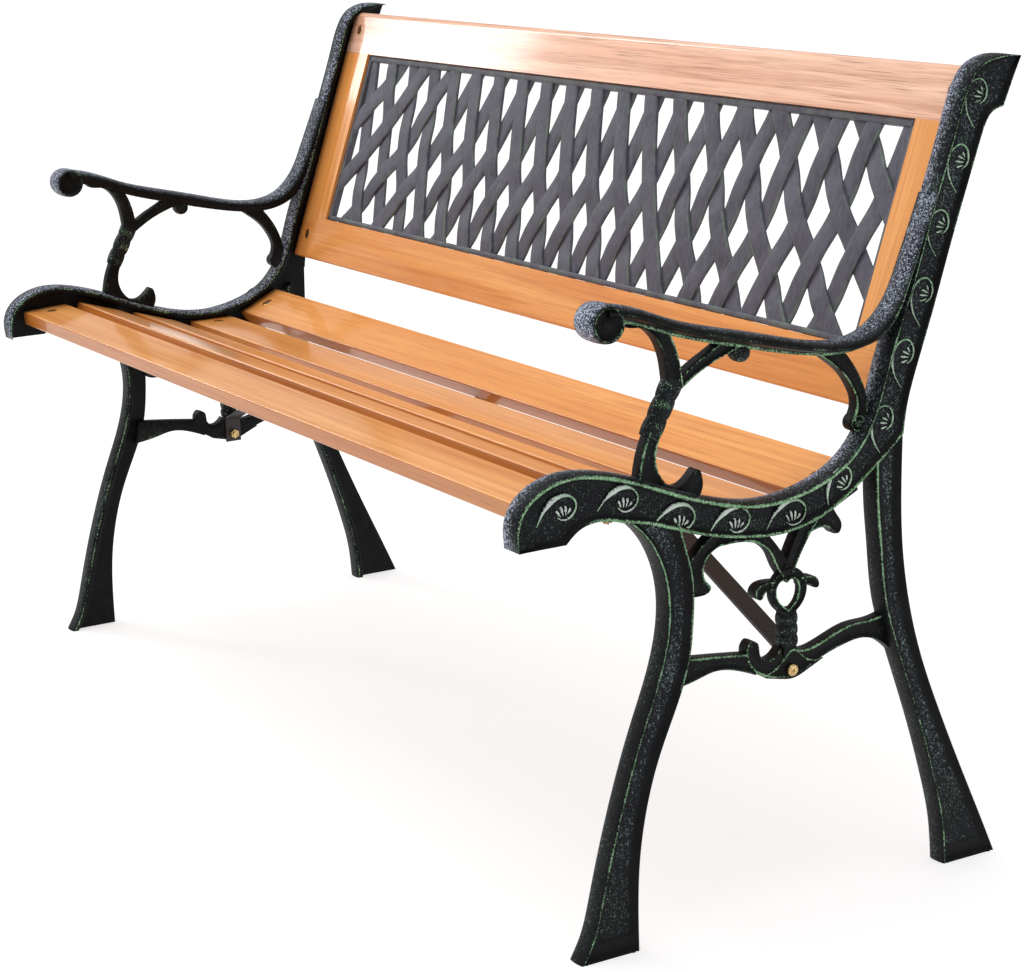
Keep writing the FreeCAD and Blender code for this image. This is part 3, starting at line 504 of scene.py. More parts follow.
scrolls = {
    # name: rub of the edge and of the opposite edge, then the two edges
    "frontStrut": (0.3, 0.9,
        [(56, 564), (64, 554), (76, 552.5), (87, 547.5), (96, 536.5), (102, 518.5), (104.5, 497.5)],
        [(86, 561.5), (98, 553.5), (107, 544.5), (114.5, 529.5), (118.5, 513.5), (121, 497.5)]),
    "backStrut": (0.5, 0.7,
        [(112, 501.5), (130, 514), (146, 522.5), (164, 532.5)],
        [(119, 494.5), (140, 507.5), (158, 515.5), (182, 523.5)]),
    "post": (0.7, 0.7,
        [(86, 463.5), (79, 447.5), (75.5, 435.5), (72, 415.5)],
        [(99, 461.5), (93.5, 447.5), (92, 437.5), (94, 426.5), (103, 412.5)]),
    "spur": (0.4, 0.3,
        [(90, 433.5), (96.5, 421.5), (105, 412.5), (117, 411), (126, 416.5), (132.5, 423)],
        [(74, 417.5), (88, 409.5), (108, 401.5), (133, 395.5), (139.5, 406.5), (137, 421.5)]),
    "rearBracket": (0.9, 0.5,
        [(258, 510), (276, 497), (290, 485.5), (300, 471.5), (305, 458.5), (303, 447.5), (298, 441.5)],
        [(288, 510), (298, 498), (307, 485), (313.5, 471.5), (317.5, 458.5), (317.5, 446.5),
         (314, 435.5)]),
    "frontBar": (0.9, 0.5,
        [(106, 256), (136.5, 253), (161.5, 250), (184.5, 247)],
        [(100, 228), (130.5, 233), (149.5, 237), (172.5, 233.5), (194.5, 225)]),
    "cup": (0.5, 0.7,
        [(196, 257.5), (198, 249.5), (199, 243), (204.5, 238), (212.5, 238.5), (220.5, 245.5)],
        [(184, 257.5), (183, 246.5), (186.5, 235.5), (196.5, 225.5), (213.5, 218.5), (230.5, 215.5)]),
    "rearBar": (0.9, 0.4,
        [(234.5, 243.5), (246.5, 240), (262.5, 242.5), (281.5, 249), (299.5, 253.5), (318.5, 254),
         (336.5, 257), (351.5, 264.5)],
        [(232.5, 215), (248.5, 220.5), (268.5, 229), (291.5, 235.5), (310.5, 238), (324.5, 235),
         (338.5, 226.5), (356.5, 208.5)]),
    "heartFront": (0.4, 0.8,
        [(230.5, 318.5), (220.5, 316.5), (212.5, 308.5), (209.5, 296.5), (215.5, 283), (230.5, 272.5)],
        [(229.5, 304.5), (226, 306.5), (220.5, 305.5), (217, 297.5), (220.5, 288), (230.5, 279)]),
    "heartRear": (0.4, 0.8,
        [(227.5, 318.5), (240.5, 316), (248.5, 307.5), (250.5, 298.5), (246, 284.5), (230.5, 272.5)],
        [(228.5, 304.5), (233.5, 307), (238.5, 304.5), (240.5, 296.5), (237.5, 287), (228.5, 279)]),
    "frontCurl": (0.5, 0.6,
        [(216.5, 308.5), (204.5, 309), (195.5, 305.5), (193, 299), (196, 294)],
        [(216.5, 299.5), (209.5, 300), (205.5, 299.5), (203.5, 296.5), (201, 293.5)]),
    "rearCurl": (0.5, 0.3,
        [(243.5, 307.5), (254.5, 307), (262.5, 303), (264.5, 296)],
        [(244.5, 298.5), (251.5, 299), (256, 297), (258.5, 294)]),
    "archFoot": (0.6, 0.8,
        [(158.5, 366), (143.5, 359), (130.5, 348), (119.5, 336), (116.5, 324), (120.5, 312),
         (130.5, 306)],
        [(178.5, 350), (154.5, 349.5), (143.5, 342), (139.5, 332), (140.5, 324), (145.5, 318),
         (153.5, 314)]),
    "arch": (0.2, 0.8,
        [(152.5, 368), (178.5, 364), (198.5, 359.5), (209.5, 351), (219.5, 339), (232.5, 321)],
        [(154.5, 349.5), (176.5, 350), (196.5, 345.5), (210.5, 334), (216.5, 321), (223.5, 310)]),
    "vee": (0.2, 0.8,
        [(223.5, 317), (232.5, 337), (245.5, 361)],
        [(236, 313), (246.5, 333), (262.5, 356)]),
    "veeHook": (0.2, 0.6,
        [(242, 353), (258, 363), (275, 369), (284.5, 358), (289, 350), (288, 343)],
        [(250.5, 345), (262.5, 348.5), (272.5, 348), (276.5, 345), (279.5, 342), (283, 340)]),
    "boltPlate": (0.7, 0.3,
        [(202.5, 222.5), (215.5, 228.5), (225.5, 236.5), (233.5, 243), (242.5, 237.5),
         (253.5, 229.5), (268.5, 227.5)],
        [(205.5, 220), (215.5, 217.5), (224.5, 215.5), (232.5, 214.5), (241.5, 216), (252.5, 220.5),
         (266.5, 227.5)]),
}


# which ends close in a half circle: start, end
roundedScrolls = {"spur": (False, True), "cup": (True, False), "frontCurl": (False, True),
                  "rearCurl": (False, True), "archFoot": (False, True), "veeHook": (False, True),
                  "rearBracket": (False, True)}
# inner face of the heart, which is cast thinner than the rest; the edges shrink below the full width
scrollCast = {"heartInside": 594.0, "full": 11.0, "rows": 70, "endLeast": 0.0004}
# the column's stem and the pieces that are turned: centre, steps round, and (radius, x, rub, fleck)
columnStem = {"front": [(224, 234.5), (224, 279)], "rear": [(239, 234.5), (239, 279)], "rows": 8}
turnings = {
    "armBall": ((182, 518), 32, [
        (0.2, 603, 0, 0.3), (5, 602.6, 0.2, 0.4), (8, 600.5, 0.4, 0.4), (8.8, 597, 0, 0.4),
        (8.8, 592, 0, 0.4), (8, 588.5, 0, 0.4), (5, 587, 0, 0.4), (0.2, 586.8, 0, 0.4)]),
    "bracketCurl": ((306.5, 438.5), 36, [
        (0.2, 602.4, 0.4, 0), (2.6, 602.0, 0.5, 0), (4.2, 600.2, 0, 0), (5.4, 600.4, 0, 0),
        (6.6, 601.8, 0.7, 0), (8.0, 600.6, 0.3, 0), (8.4, 597, 0, 0.3), (8.0, 588.4, 0, 0.3),
        (5, 587.4, 0, 0.3), (0.2, 587.4, 0, 0.3)]),
}


# a rounded end: the last stretch of both edges closes in a half circle towards the middle
def roundedEnds(edgeA, edgeB, start, end):
    middle = (edgeA + edgeB) / 2
    half = (edgeB - edgeA) / 2
    radius = np.linalg.norm(half, axis=1)
    length = np.r_[0, np.cumsum(np.linalg.norm(np.diff(middle, axis=0), axis=1))]
    keep = np.ones(len(edgeA))
    for closes, far, away in ((start, radius[0], length), (end, radius[-1], length[-1] - length)):
        if closes:
            gone = np.clip(1 - away / far, 0, 1)
            keep *= np.sqrt(np.maximum(1 - gone**2, scrollCast["endLeast"]))
    return middle - half * keep[:, None], middle + half * keep[:, None]


def makeScrolls():
    parts = []
    even = np.linspace(0, 1, scrollCast["rows"])
    # rows gather at both ends where an end is rounded
    gathered = (1 - np.cos(np.linspace(0, np.pi, scrollCast["rows"]))) / 2
    for name, (rubA, rubB, edge, opposite) in scrolls.items():
        share = gathered if name in roundedScrolls else even
        edgeA, edgeB = curveAt(edge, share), curveAt(opposite, share)
        if name in roundedScrolls:
            edgeA, edgeB = roundedEnds(edgeA, edgeB, *roundedScrolls[name])
        inner = scrollCast["heartInside"] if name.startswith("heart") else sideX["scrollInside"]
        parts.append(castMember(edgeA, edgeB, scrollRing(rubA, rubB, inn=inner), scrollCast["full"]))
    return parts


def makeStem():
    share = np.linspace(0, 1, columnStem["rows"])
    edges = (curveAt(columnStem[side], share) for side in ("front", "rear"))
    return castMember(*edges, scrollRing(0.1, 0.1, 0.2), scrollCast["full"])



# beads strung on a slanting axis: radius swells once for each bead and is cut by a slanting twist
beads = {
    "collar": {"from": (114, 503.5), "to": (88, 455.5), "count": 3, "half": (10.0, 9.4), "deep": 7.0,
               "twist": 2.6},
    "column": {"from": (231.5, 245), "to": (231.5, 275.5), "count": 3, "half": (10.2, 9.8), "deep": 7.6,
               "twist": 0.0},
}


def makeBeads(which):
    b = beads[which]
    start, end = np.array(b["from"], float), np.array(b["to"], float)
    way = (end - start) / np.linalg.norm(end - start)
    side = np.array([-way[1], way[0]])
    rows, ring = 110, 44
    t = np.linspace(0, 1, rows)[:, None]
    angle = np.linspace(0, 2 * np.pi, ring, endpoint=False)[None, :]
    phase = t * b["count"] + 0.06 * b["twist"] * np.sin(angle)
    swell = np.abs(np.sin(np.pi * phase)) ** 0.45
    half = b["half"][0] + (b["half"][1] - b["half"][0]) * t
    radius = 0.84 + 0.16 * swell
    square = 1 / (np.abs(np.cos(angle)) ** 3.2 + np.abs(np.sin(angle)) ** 3.2) ** (1 / 3.2)
    across = half * radius * np.cos(angle) * square
    x = (sideX["scrollOutside"] + sideX["scrollInside"]) / 2 + b["deep"] * radius * np.sin(angle) * square
    along = t * np.linalg.norm(end - start)
    depth = start[0] + way[0] * along + side[0] * across
    height = start[1] + way[1] * along + side[1] * across
    return shell(place(x, depth, height), {"rub": 0.42 * swell**5 + 0 * angle, "fleckAndSheen": 0.42 + 0 * swell})


# crook ornaments on the web: a tapering stroke that curls over a small cup of rays
crook = {
    "stroke": [(-1, -3), (5.5, 7.5), (14, 15.5), (26, 19.5), (36.5, 16.5), (41.5, 9), (39.5, 2),
               (33.5, -2.5), (26, -3.2), (21, 0)],
    "width": [1.2, 3.2, 7.0, 5.4, 3.0, 2.6, 2.8, 3.2, 2.6, 1.0],
    "slim": [1.2, 1.9, 2.6, 2.8, 2.6, 2.4, 2.4, 2.8, 2.4, 1.0],
    # share of painted whitish highlight in the green rub, along the stroke
    "paintedHighlight": [0.1, 0.7, 1.0, 0.6, 0.2, 0.1, 0.3, 0.8, 0.7, 0.3],
    "rays": [((20.2, 6.8), (24.2, 0.2)), ((25.0, 9.6), (27.2, 0.4)), ((30.2, 9.0), (29.8, 0.6)),
             ((35.2, 5.6), (32.0, 1.2))],
    "rayWidth": [2.4, 3.8, 1.2],
    # height above the web and rub, for strokes and for rays
    "strokeLift": 3.2, "rayLift": 2.6, "strokeRub": 1.15, "rayRub": 1.1,
    # (depth, height) of the stroke's foot, turn in degrees, size, share of the bold width
    "places": [(-31, 402, 6, 0.93, 1.0), (29, 406, -8, 0.92, 1.0), (84, 383, -12, 0.98, 0.9),
               (142, 368, -5, 0.98, 0.9), (202.5, 361.5, 2, 1.0, 0.8), (269, 369, 43, 0.92, 0.6),
               (325, 411, 66, 0.98, 0.3), (348, 468, 66, 0.98, 0.2), (369, 521, 66, 0.98, 0.1),
               (387, 581, 66, 0.95, 0.0), (409, 636.5, 66, 0.96, 0.0), (428.5, 692, 66, 0.98, 0.0)],
}


# a raised stroke: half-round section of changing width carried along a line on the web
def raisedStroke(line, width, baseX, lift, rub, paintedHighlight):
    way = np.gradient(line, axis=0)
    way /= np.linalg.norm(way, axis=1)[:, None]
    side = np.stack([-way[:, 1], way[:, 0]], 1)
    angle = np.radians([-90, -68, -42, -18, 0, 18, 42, 68, 90])
    offset = np.sin(angle)[None, :] * width[:, None] / 2
    x = baseX + np.cos(angle)[None, :] * np.minimum(lift, 0.6 * width)[:, None]
    x[:, 0] = x[:, -1] = baseX - 1.0
    depth = line[:, :1] + side[:, :1] * offset
    height = line[:, 1:] + side[:, 1:] * offset
    crown = np.broadcast_to((np.cos(angle) ** 2)[None, :], x.shape) * rub
    return shell(place(x, depth, height), {"rub": crown, "fleckAndSheen": 0.2 + 0 * x,
                                           "paintedHighlightMask": paintedHighlight[:, None] + 0 * x})


# turned and scaled about the stroke's foot
def layOn(points, depth, height, turn, size):
    c, s = math.cos(math.radians(turn)) * size, math.sin(math.radians(turn)) * size
    return np.array(points) @ np.array([[c, s], [-s, c]]) + [depth, height]


def makeOrnaments():
    parts = []
    base = sideX["web"]
    share = np.linspace(0, 1, 64)
    rayShare = np.linspace(0, 1, 8)
    knots = lengthShare(np.array(crook["stroke"], float))
    bold, slim, paintedHighlight = (np.interp(share, knots, crook[key]) for key in ("width", "slim", "paintedHighlight"))
    for depth, height, turn, size, weight in crook["places"]:
        line = layOn(curveAt(crook["stroke"], share), depth, height, turn, size)
        width = (bold * weight + slim * (1 - weight)) * size
        # painted highlight: share of whitish highlight along the stroke's crest
        shine = paintedHighlight * (0.35 + 0.65 * weight)
        parts.append(raisedStroke(line, width, base, crook["strokeLift"], crook["strokeRub"], shine))
        for tip, foot in crook["rays"]:
            line = layOn(curveAt([tip, foot], rayShare), depth, height, turn, size)
            width = np.interp(rayShare, [0, 0.35, 1], crook["rayWidth"]) * size * (0.7 + 0.3 * weight)
            shine = 0.4 + 0.5 * weight + 0 * rayShare
            parts.append(raisedStroke(line, width, base, crook["rayLift"], crook["rayRub"], shine))
    return parts


# the lugs under the slats and behind the rails: flat plates with eased edges
slatPlaces = [(-31, 411, 3.6), (40, 415, -17), (111, 394.5, -17.5), (187, 374, 0), (257.6, 377.6, 25.5)]
lug = {"length": 40.0, "width": 34.0, "thick": 5.0, "ease": 0.8, "ribDepth": 4.0, "ribRise": 16.0,
       "slatWidth": 55.0, "slatThick": 16.0}


def plateAt(corner, along, up, length, thick, start, end=1.0):
    rows = np.array([start, start + 0.6, start + 1.6, (start + end) / 2, end])
    inset = np.array([1.0, 0.35, 0, 0, 0])
    ease = lug["ease"]
    ring = np.array([(0, ease), (ease, 0), (length - ease, 0), (length, ease), (length, thick - ease),
                     (length - ease, thick), (ease, thick), (0, thick - ease)])
    middle = np.array([length / 2, thick / 2])
    scaled = middle + (ring - middle)[None] * (1 - inset[:, None, None] / thick)
    flat = np.array(corner) + scaled[..., :1] * np.array(along) + scaled[..., 1:] * np.array(up)
    x = sideX["webInside"] + rows
    return shell(place(x[:, None], flat[..., 0], flat[..., 1]), {"fleckAndSheen": 0.3 + 0 * flat[..., 0]})



backSlope = math.radians(19.32)
backFoot = (353.1, 493.5)
railSize = {"thick": 15.0, "boltRise": 29.5, "bottoms": (-54.0, 212.0)}


def makeLugs():
    parts = []
    for depth, height, tilt in slatPlaces:
        a = math.radians(tilt)
        along, up = (math.cos(a), math.sin(a)), (-math.sin(a), math.cos(a))
        drop = lug["slatThick"] + lug["thick"]
        inset = (lug["slatWidth"] - lug["width"]) / 2
        corner = (depth + along[0] * inset - up[0] * drop, height + along[1] * inset - up[1] * drop)
        parts.append(plateAt(corner, along, up, lug["width"], lug["thick"], -lug["length"]))
    # the rearmost lug hangs on a rib below the web
    parts.append(plateAt(corner, along, up, lug["width"], lug["ribRise"], 0.0, lug["ribDepth"]))
    up = (math.sin(backSlope), math.cos(backSlope))
    rear = (math.cos(backSlope), -math.sin(backSlope))
    for bottom in railSize["bottoms"]:
        low = bottom + railSize["boltRise"] - lug["width"] / 2
        corner = (backFoot[0] + up[0] * low + rear[0] * railSize["thick"],
                  backFoot[1] + up[1] * low + rear[1] * railSize["thick"])
        parts.append(plateAt(corner, up, rear, lug["width"], lug["thick"], -lug["length"]))
    return parts


def makeEndFrame():
    ball, curl = (turnedX(centre, profile, steps) for centre, steps, profile in turnings.values())
    groups = (
        ("FrameBody", [makeRail(), makeLeg("front"), makeLeg("rear")] + makeLugs(), 40),
        ("FrameArm", [makeArm(), makeArmRoll(), ball], 50),
        ("FrameScrolls", makeScrolls() + [makeBeads("collar"), makeBeads("column"), curl, makeStem()], 50),
        ("FrameOrnament", makeOrnaments(), 60),
    )
    for ending, parts, sharp in groups:
        makeObject("right" + ending, parts, hammeredBlack, ["right_end_frame"], sharp)
        mirrored = [mirroredShell(part) for part in parts]
        makeObject("left" + ending, mirrored, hammeredBlack, ["left_end_frame"], sharp)


makeEndFrame()


# lattice
lattice = {
    "strips": 19, "first": -526.5, "pitch": 52.2, "growFrom": 12, "grow": 1.05, "least": 59.0,
    "gain": 28.0, "decay": 240.0, "bow": 0.085, "height": 212.0, "halfWidth": 535.0, "border": 7.0,
    "width": 23.0, "thick": 4.0, "front": 3.0, "depth": 8.0, "swing": 3.2,
}
latticePaint = {"slate": (0.086, 0.082, 0.112), "dark": (0.050, 0.049, 0.066),
                "streak": (0.155, 0.150, 0.195), "edge": (0.17, 0.24, 0.17)}


# a point of the reclined back: x along, rise up the slope, behind the front face of the wood
def onBack(x, rise, behind):
    depth = backFoot[0] + math.sin(backSlope) * rise + math.cos(backSlope) * behind
    height = backFoot[1] + math.cos(backSlope) * rise - math.sin(backSlope) * behind
    return place(x, depth, height)


# sideways place of a strip: its top, plus a travel that grows to the right, bowed by a sine
def stripCentre(index, share):
    late = np.maximum(0, index - lattice["growFrom"])
    top = lattice["first"] + lattice["pitch"] * index + lattice["grow"] * late**2
    travel = lattice["least"] + lattice["gain"] * np.exp(top / lattice["decay"])
    return top + travel * (share - lattice["bow"] * np.sin(np.pi * share))


# whether the falling strip lies over the rising one where they cross; strips count from their own
# side, and the last few on each side change their turn
def fallingOver(falling, rising):
    row = falling + rising
    over = row != 18
    over = np.where(falling >= 13, row % 2 == 0, over)
    over = np.where(rising == 16, row % 2 == 0, over)
    over = np.where((rising == 15) & ((row == 18) | (row == 19)), True, over)
    over = np.where((rising == 15) & ((row == 16) | (row == 17)), False, over)
    over = np.where(rising == 17, False, over)
    return np.where(falling == 12, True, over)


# where the two strips cross, as a share of the fall, found on a fine scale
def crossings(falling, others):
    share = np.linspace(-0.05, 1.05, 600)
    gap = stripCentre(falling, share)[None, :] + stripCentre(others[:, None], share[None, :])
    best = np.argmin(np.abs(gap), axis=1)
    return share[best], np.abs(gap[np.arange(len(others)), best]) < 2.0


# one strip: a crowned band with eased edges, its depth swinging smoothly from crossing to crossing
def latticeStrip(index, falls):
    share = np.linspace(-0.045, 1.045, 72)
    others = np.arange(lattice["strips"])
    at, real = crossings(index, others)
    over = fallingOver(index, others) if falls else ~fallingOver(others, index)
    at, over = at[real], over[real].astype(float)
    order = np.argsort(at)
    at, over = at[order], over[order]
    high = lattice["height"] - lattice["border"] / 2
    low = lattice["border"] / 2
    knots = np.r_[-0.1, at, 1.1]
    level = np.r_[0.5, over, 0.5]
    spot = np.clip(np.searchsorted(knots, share) - 1, 0, len(knots) - 2)
    t = (share - knots[spot]) / (knots[spot + 1] - knots[spot])
    t = smoothStep(0.22, 0.78, t)
    lift = level[spot] * (1 - t) + level[spot + 1] * t
    middle = stripCentre(index, share)
    rise = high + (low - high) * share
    way = np.stack([np.gradient(middle), np.gradient(rise)], 1)
    way /= np.linalg.norm(way, axis=1)[:, None]
    side = np.stack([-way[:, 1], way[:, 0]], 1)
    half, thick = lattice["width"] / 2, lattice["thick"]
    # ring: (across, behind the strip's own front, rub)
    ring = np.array([(-half, 1.6, 0.5), (-half + 0.25, 0.75, 0.9), (-half + 1.2, 0.25, 0.55),
                     (-half + 3, 0.05, 0), (-half * 0.5, -0.15, 0), (0, -0.25, 0), (half * 0.5, -0.15, 0),
                     (half - 3, 0.05, 0), (half - 1.2, 0.25, 0.55), (half - 0.25, 0.75, 0.9),
                     (half, 1.6, 0.5), (half, thick - 0.8, 0.1), (half - 0.9, thick, 0), (0, thick, 0),
                     (-half + 0.9, thick, 0), (-half, thick - 0.8, 0.1)])
    behind = lattice["front"] + 0.7 + (1 - lift)[:, None] * lattice["swing"] + ring[None, :, 1]
    x = middle[:, None] + side[:, :1] * ring[None, :, 0]
    up = rise[:, None] + side[:, 1:] * ring[None, :, 0]
    limit = lattice["halfWidth"] - 3.0
    x = np.clip(x if falls else -x, -limit, limit)
    return shell(onBack(x, up, behind), {"rub": np.broadcast_to(ring[:, 2], x.shape)})


# a straight border bar with rounded arrises between two points (x, rise)
def borderBar(start, end, width, side):
    share = np.array([0, 0.5, 1.0])
    line = np.array(start, float) + share[:, None] * (np.array(end, float) - np.array(start, float))
    ring = np.array([(0, 1.3, 0.2), (0.35, 0.45, 0.7), (1.2, 0, 0.4), (width - 1.2, 0, 0.4),
                     (width - 0.35, 0.45, 0.7), (width, 1.3, 0.3), (width, lattice["depth"], 0),
                     (0, lattice["depth"], 0)])
    x = line[:, :1] + side[0] * ring[None, :, 0]
    rise = line[:, 1:] + side[1] * ring[None, :, 0]
    return shell(onBack(x, rise, lattice["front"] + ring[None, :, 1]),
                 {"rub": np.broadcast_to(ring[:, 2], x.shape)})


def makeLatticePaint():
    material, tree, skin = newMaterial("slateLattice")
    where = objectPattern(tree, (1, 1, 1))
    grain = noise(tree, where, 900.0, 3.0, 0.6)
    cloud = noise(tree, where, 26.0, 3.0, 0.55)
    long = noise(tree, objectPattern(tree, (1, 1, 0.35)), 210.0, 3.0, 0.6)
    rub = attribute(tree, "rub")
    base = blendColours(tree, ramp(tree, cloud, [(0.3, 0.0), (0.72, 1.0)]), latticePaint["dark"],
                        latticePaint["slate"])
    base = blendColours(tree, ramp(tree, long, [(0.4, 0.0), (0.75, 0.45)]), base, latticePaint["streak"])
    patchy = ramp(tree, noise(tree, where, 38.0, 4.0, 0.6), [(0.45, 0.05), (0.68, 0.9)])
    worn = arith(tree, "MULTIPLY", rub, patchy, True)
    base = blendColours(tree, worn, base, latticePaint["edge"])
    tree.links.new(base, skin.inputs["Base Color"])
    tree.links.new(ramp(tree, grain, [(0.3, 0.42), (0.7, 0.6)]), skin.inputs["Roughness"])
    addBump(tree, skin, grain, 0.35, 0.0004)
    skin.inputs["Specular IOR Level"].default_value = 0.3
    return material


def makeLattice():
    parts = [latticeStrip(i, falls) for falls in (True, False) for i in range(lattice["strips"])]
    w, h, b = lattice["halfWidth"] - 0.5, lattice["height"] - 0.5, lattice["border"]
    parts.append(borderBar((-w, h), (w, h), b, (0, -1)))
    parts.append(borderBar((-w, -0.5), (w, -0.5), b - 1, (0, 1)))
    parts.append(borderBar((-w, h), (-w, -0.5), b, (1, 0)))
    parts.append(borderBar((w, h), (w, -0.5), b, (-1, 0)))
    makeObject("latticeWeave", parts, makeLatticePaint(), ["lattice_panel"], 35)


makeLattice()


# timber
timber = {
    "honey": {"light": (0.93, 0.43, 0.130), "middle": (0.80, 0.315, 0.070), "dark": (0.52, 0.155, 0.028),
              "pore": (0.42, 0.12, 0.022), "figure": 0.6, "pores": 0.4},
    # rose: a lighter, pinker copy of the honey tone, a painted reflection for the top rail
    "paintedSheenRose": {"light": (0.95, 0.60, 0.44), "middle": (0.84, 0.44, 0.28), "dark": (0.50, 0.20, 0.10),
             "pore": (0.24, 0.08, 0.05), "figure": 0.8, "pores": 0.6},
    # stretch of the pattern along the grain and across it
    "broad": (0.9, 13.0), "middle": (2.6, 120.0), "fine": (13.0, 980.0),
    # painted shade on the narrow sides, as a share of the face's colour
    "edge": (0.62, 0.49, 0.33), "coat": 0.6, "coatRoughness": 0.09,
}


# varnished wood; grain is the axis it runs along, and the figure changes slowly that way
def makeTimber(name, tones, grain, turn=(0, 0, 0), depth=1.0, paintedSideShade=False):
    material, tree, skin = newMaterial(name)
    t = {}
    for key, tone in timber[tones].items():
        t[key] = tuple(v * depth for v in tone) if isinstance(tone, tuple) else tone

    def stretched(size):
        along, across = timber[size]
        return objectPattern(tree, tuple(along if axis == grain else across for axis in "xyz"), turn)

    broad = noise(tree, stretched("broad"), 1.7, 2.0, 0.5, 0.5)
    figure = noise(tree, stretched("middle"), 1.0, 4.0, 0.6, 0.9)
    pores = noise(tree, stretched("fine"), 1.0, 2.0, 0.55)
    base = blendColours(tree, ramp(tree, broad, [(0.32, 0.0), (0.68, 1.0)]), t["middle"], t["light"])
    base = blendColours(tree, ramp(tree, figure, [(0.42, 0.0), (0.75, t["figure"])]), base, t["dark"])
    base = blendColours(tree, ramp(tree, pores, [(0.30, t["pores"]), (0.45, 0.0)]), base, t["pore"])
    if paintedSideShade:
        # painted shade: the narrow sides, facing away from straight up, are darkened against the top
        normal = node(tree, "ShaderNodeTexCoord").outputs["Normal"]
        facing = node(tree, "ShaderNodeSeparateXYZ", {"Vector": normal}).outputs["Z"]
        side = node(tree, "ShaderNodeMix", {0: 1.0}, data_type="RGBA", blend_type="MULTIPLY")
        tree.links.new(base, side.inputs[6])
        side.inputs[7].default_value = (*timber["edge"], 1)
        base = blendColours(tree, ramp(tree, facing, [(0.50, 0.0), (0.85, 1.0)]), side.outputs[2], base)
    tree.links.new(base, skin.inputs["Base Color"])
    tree.links.new(ramp(tree, figure, [(0.3, 0.34), (0.7, 0.46)]), skin.inputs["Roughness"])
    addBump(tree, skin, pores, 0.10, 0.0002)
    skin.inputs["Specular IOR Level"].default_value = 0.2
    skin.inputs["Coat Weight"].default_value = timber["coat"]
    skin.inputs["Coat Roughness"].default_value = timber["coatRoughness"]
    return material


def makeBraceSteel():
    material, tree, skin = newMaterial("brownedSteel")
    where = objectPattern(tree, (1, 1, 1))
    cloud = noise(tree, where, 45.0, 4.0, 0.6)
    fine = noise(tree, where, 500.0, 2.0, 0.5)
    base = blendColours(tree, cloud, (0.009, 0.006, 0.006), (0.023, 0.016, 0.015))
    tree.links.new(base, skin.inputs["Base Color"])
    tree.links.new(ramp(tree, cloud, [(0.3, 0.38), (0.7, 0.55)]), skin.inputs["Roughness"])
    addBump(tree, skin, fine, 0.2, 0.0003)
    return material


def makePlating():
    material, tree, skin = newMaterial("yellowZinc")
    where = objectPattern(tree, (1, 1, 1))
    cloud = noise(tree, where, 420.0, 3.0, 0.6)
    base = blendColours(tree, ramp(tree, cloud, [(0.35, 0.0), (0.7, 1.0)]), (0.42, 0.26, 0.09),
                        (0.86, 0.66, 0.36))
    tree.links.new(base, skin.inputs["Base Color"])
    tree.links.new(ramp(tree, cloud, [(0.3, 0.42), (0.7, 0.24)]), skin.inputs["Roughness"])
    skin.inputs["Metallic"].default_value = 1.0
    addBump(tree, skin, cloud, 0.15, 0.0003)
    return material


def paintNode(name, material):
    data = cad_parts[name].data
    data.materials.clear()
    data.materials.append(material)


seatTimber = makeTimber("varnishedSeat", "honey", "x", paintedSideShade=True)
lengthTimber = makeTimber("varnishedRail", "honey", "x", (backSlope, 0, 0))
# the top rail's lighter rose tone is a painted reflection
topTimber = makeTimber("varnishedTopRail", "paintedSheenRose", "x", (backSlope, 0, 0))
uprightTimber = makeTimber("varnishedUpright", "honey", "z", (backSlope, 0, 0))
# painted shade: the batten is the seat's timber darkened to 0.55 of its tone
battenTimber = makeTimber("shadedBatten", "honey", "y", (0, 0, 0), 0.55)
for number in range(1, 6):
    paintNode("seat_slat_" + str(number), seatTimber)
paintNode("back_lower_rail", lengthTimber)
paintNode("back_upper_rail", topTimber)
for name in ("back_right_stile", "back_left_stile"):
    paintNode(name, uprightTimber)
paintNode("centre_batten", battenTimber)
paintNode("stile_dowels", uprightTimber)
braceSteel = makeBraceSteel()
for name in ("right_brace", "left_brace"):
    paintNode(name, braceSteel)
plating = makePlating()
for name in ("slat_bolts", "slat_nuts", "back_bolts", "back_nuts", "brace_bolts", "brace_nuts",
             "batten_screws", "brace_screws"):
    paintNode(name, plating)
print("timber and fittings painted")


# floor, light and camera
stage = {
    "floor": 0.42, "floorGlow": 0.64, "world": 0.52, "sun": 1.95, "sunSpread": 70, "sunTilt": (10, -8, 0),
    "camera": (2.3576, -1.2919, 0.9491), "turn": (75.853, 1.716, 59.249), "lens": 90.12,
    # name: place, aimed at, size, power
    "lamps": {"stripLeft": ((-2.9, -1.05, 1.9), (0, 0, 0.5), (0.35, 1.4), 19),
              "softFront": ((-1.0, -3.6, 1.9), (0, 0, 0.4), (2.2, 1.2), 6)},
}


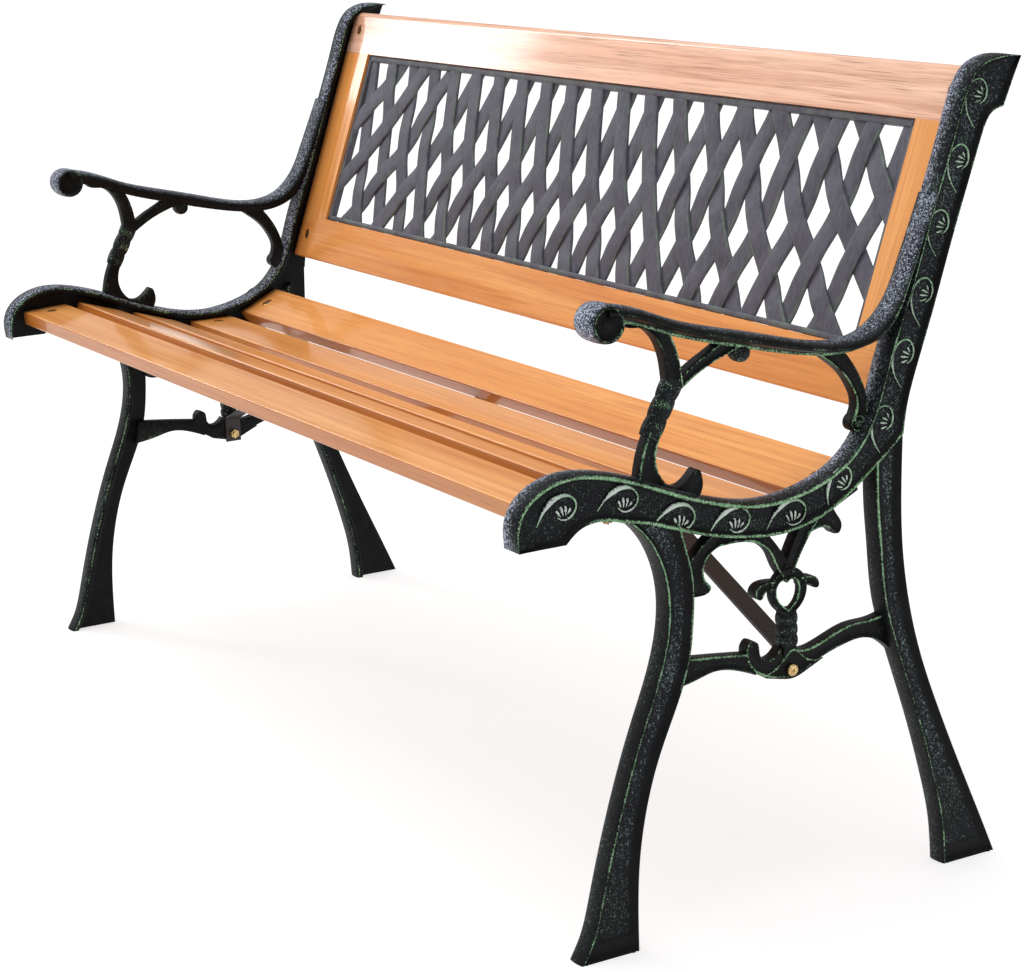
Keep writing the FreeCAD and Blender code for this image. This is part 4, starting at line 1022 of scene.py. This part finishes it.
def addLamp(name, kind, power):
    light = bpy.data.lights.new(name, kind)
    light.energy = power
    lamp = bpy.data.objects.new(name, light)
    bpy.context.scene.collection.objects.link(lamp)
    return light, lamp


def makeStage():
    half = 60.0
    mesh = bpy.data.meshes.new("floor")
    corners = [(-half, -half, 0), (half, -half, 0), (half, half, 0), (-half, half, 0)]
    mesh.from_pydata(corners, [], [(0, 1, 2, 3)])
    material, tree, skin = newMaterial("paleFloor")
    skin.inputs["Base Color"].default_value = (stage["floor"], stage["floor"], stage["floor"], 1)
    skin.inputs["Emission Color"].default_value = (1, 1, 1, 1)
    skin.inputs["Emission Strength"].default_value = stage["floorGlow"]
    skin.inputs["Roughness"].default_value = 0.9
    skin.inputs["Specular IOR Level"].default_value = 0.1
    mesh.materials.append(material)
    floor = bpy.data.objects.new("floor", mesh)
    bpy.context.scene.collection.objects.link(floor)
    world = bpy.data.worlds.new("studio")
    world.use_nodes = True
    world.node_tree.nodes["Background"].inputs[0].default_value = (1, 1, 1, 1)
    world.node_tree.nodes["Background"].inputs[1].default_value = stage["world"]
    bpy.context.scene.world = world
    light, lamp = addLamp("softSun", "SUN", stage["sun"])
    light.angle = math.radians(stage["sunSpread"])
    lamp.rotation_euler = tuple(math.radians(a) for a in stage["sunTilt"])
    for name, (where, target, size, power) in stage["lamps"].items():
        light, lamp = addLamp(name, "AREA", power)
        light.shape = "RECTANGLE"
        light.size, light.size_y = size
        lamp.location = where
        away = np.array(target, float) - np.array(where)
        lamp.rotation_euler = (math.atan2(math.hypot(away[0], away[1]), -away[2]), 0,
                               math.atan2(-away[0], away[1]))
    print("floor and lights placed")


def makeCamera():
    data = bpy.data.cameras.new("camera")
    data.sensor_width = 36.0
    data.lens = stage["lens"]
    data.clip_end = 200.0
    camera = bpy.data.objects.new("camera", data)
    bpy.context.scene.collection.objects.link(camera)
    camera.location = stage["camera"]
    camera.rotation_euler = tuple(math.radians(a) for a in stage["turn"])
    bpy.context.scene.camera = camera


makeStage()
makeCamera()
bpy.context.scene.view_settings.view_transform = "Standard"
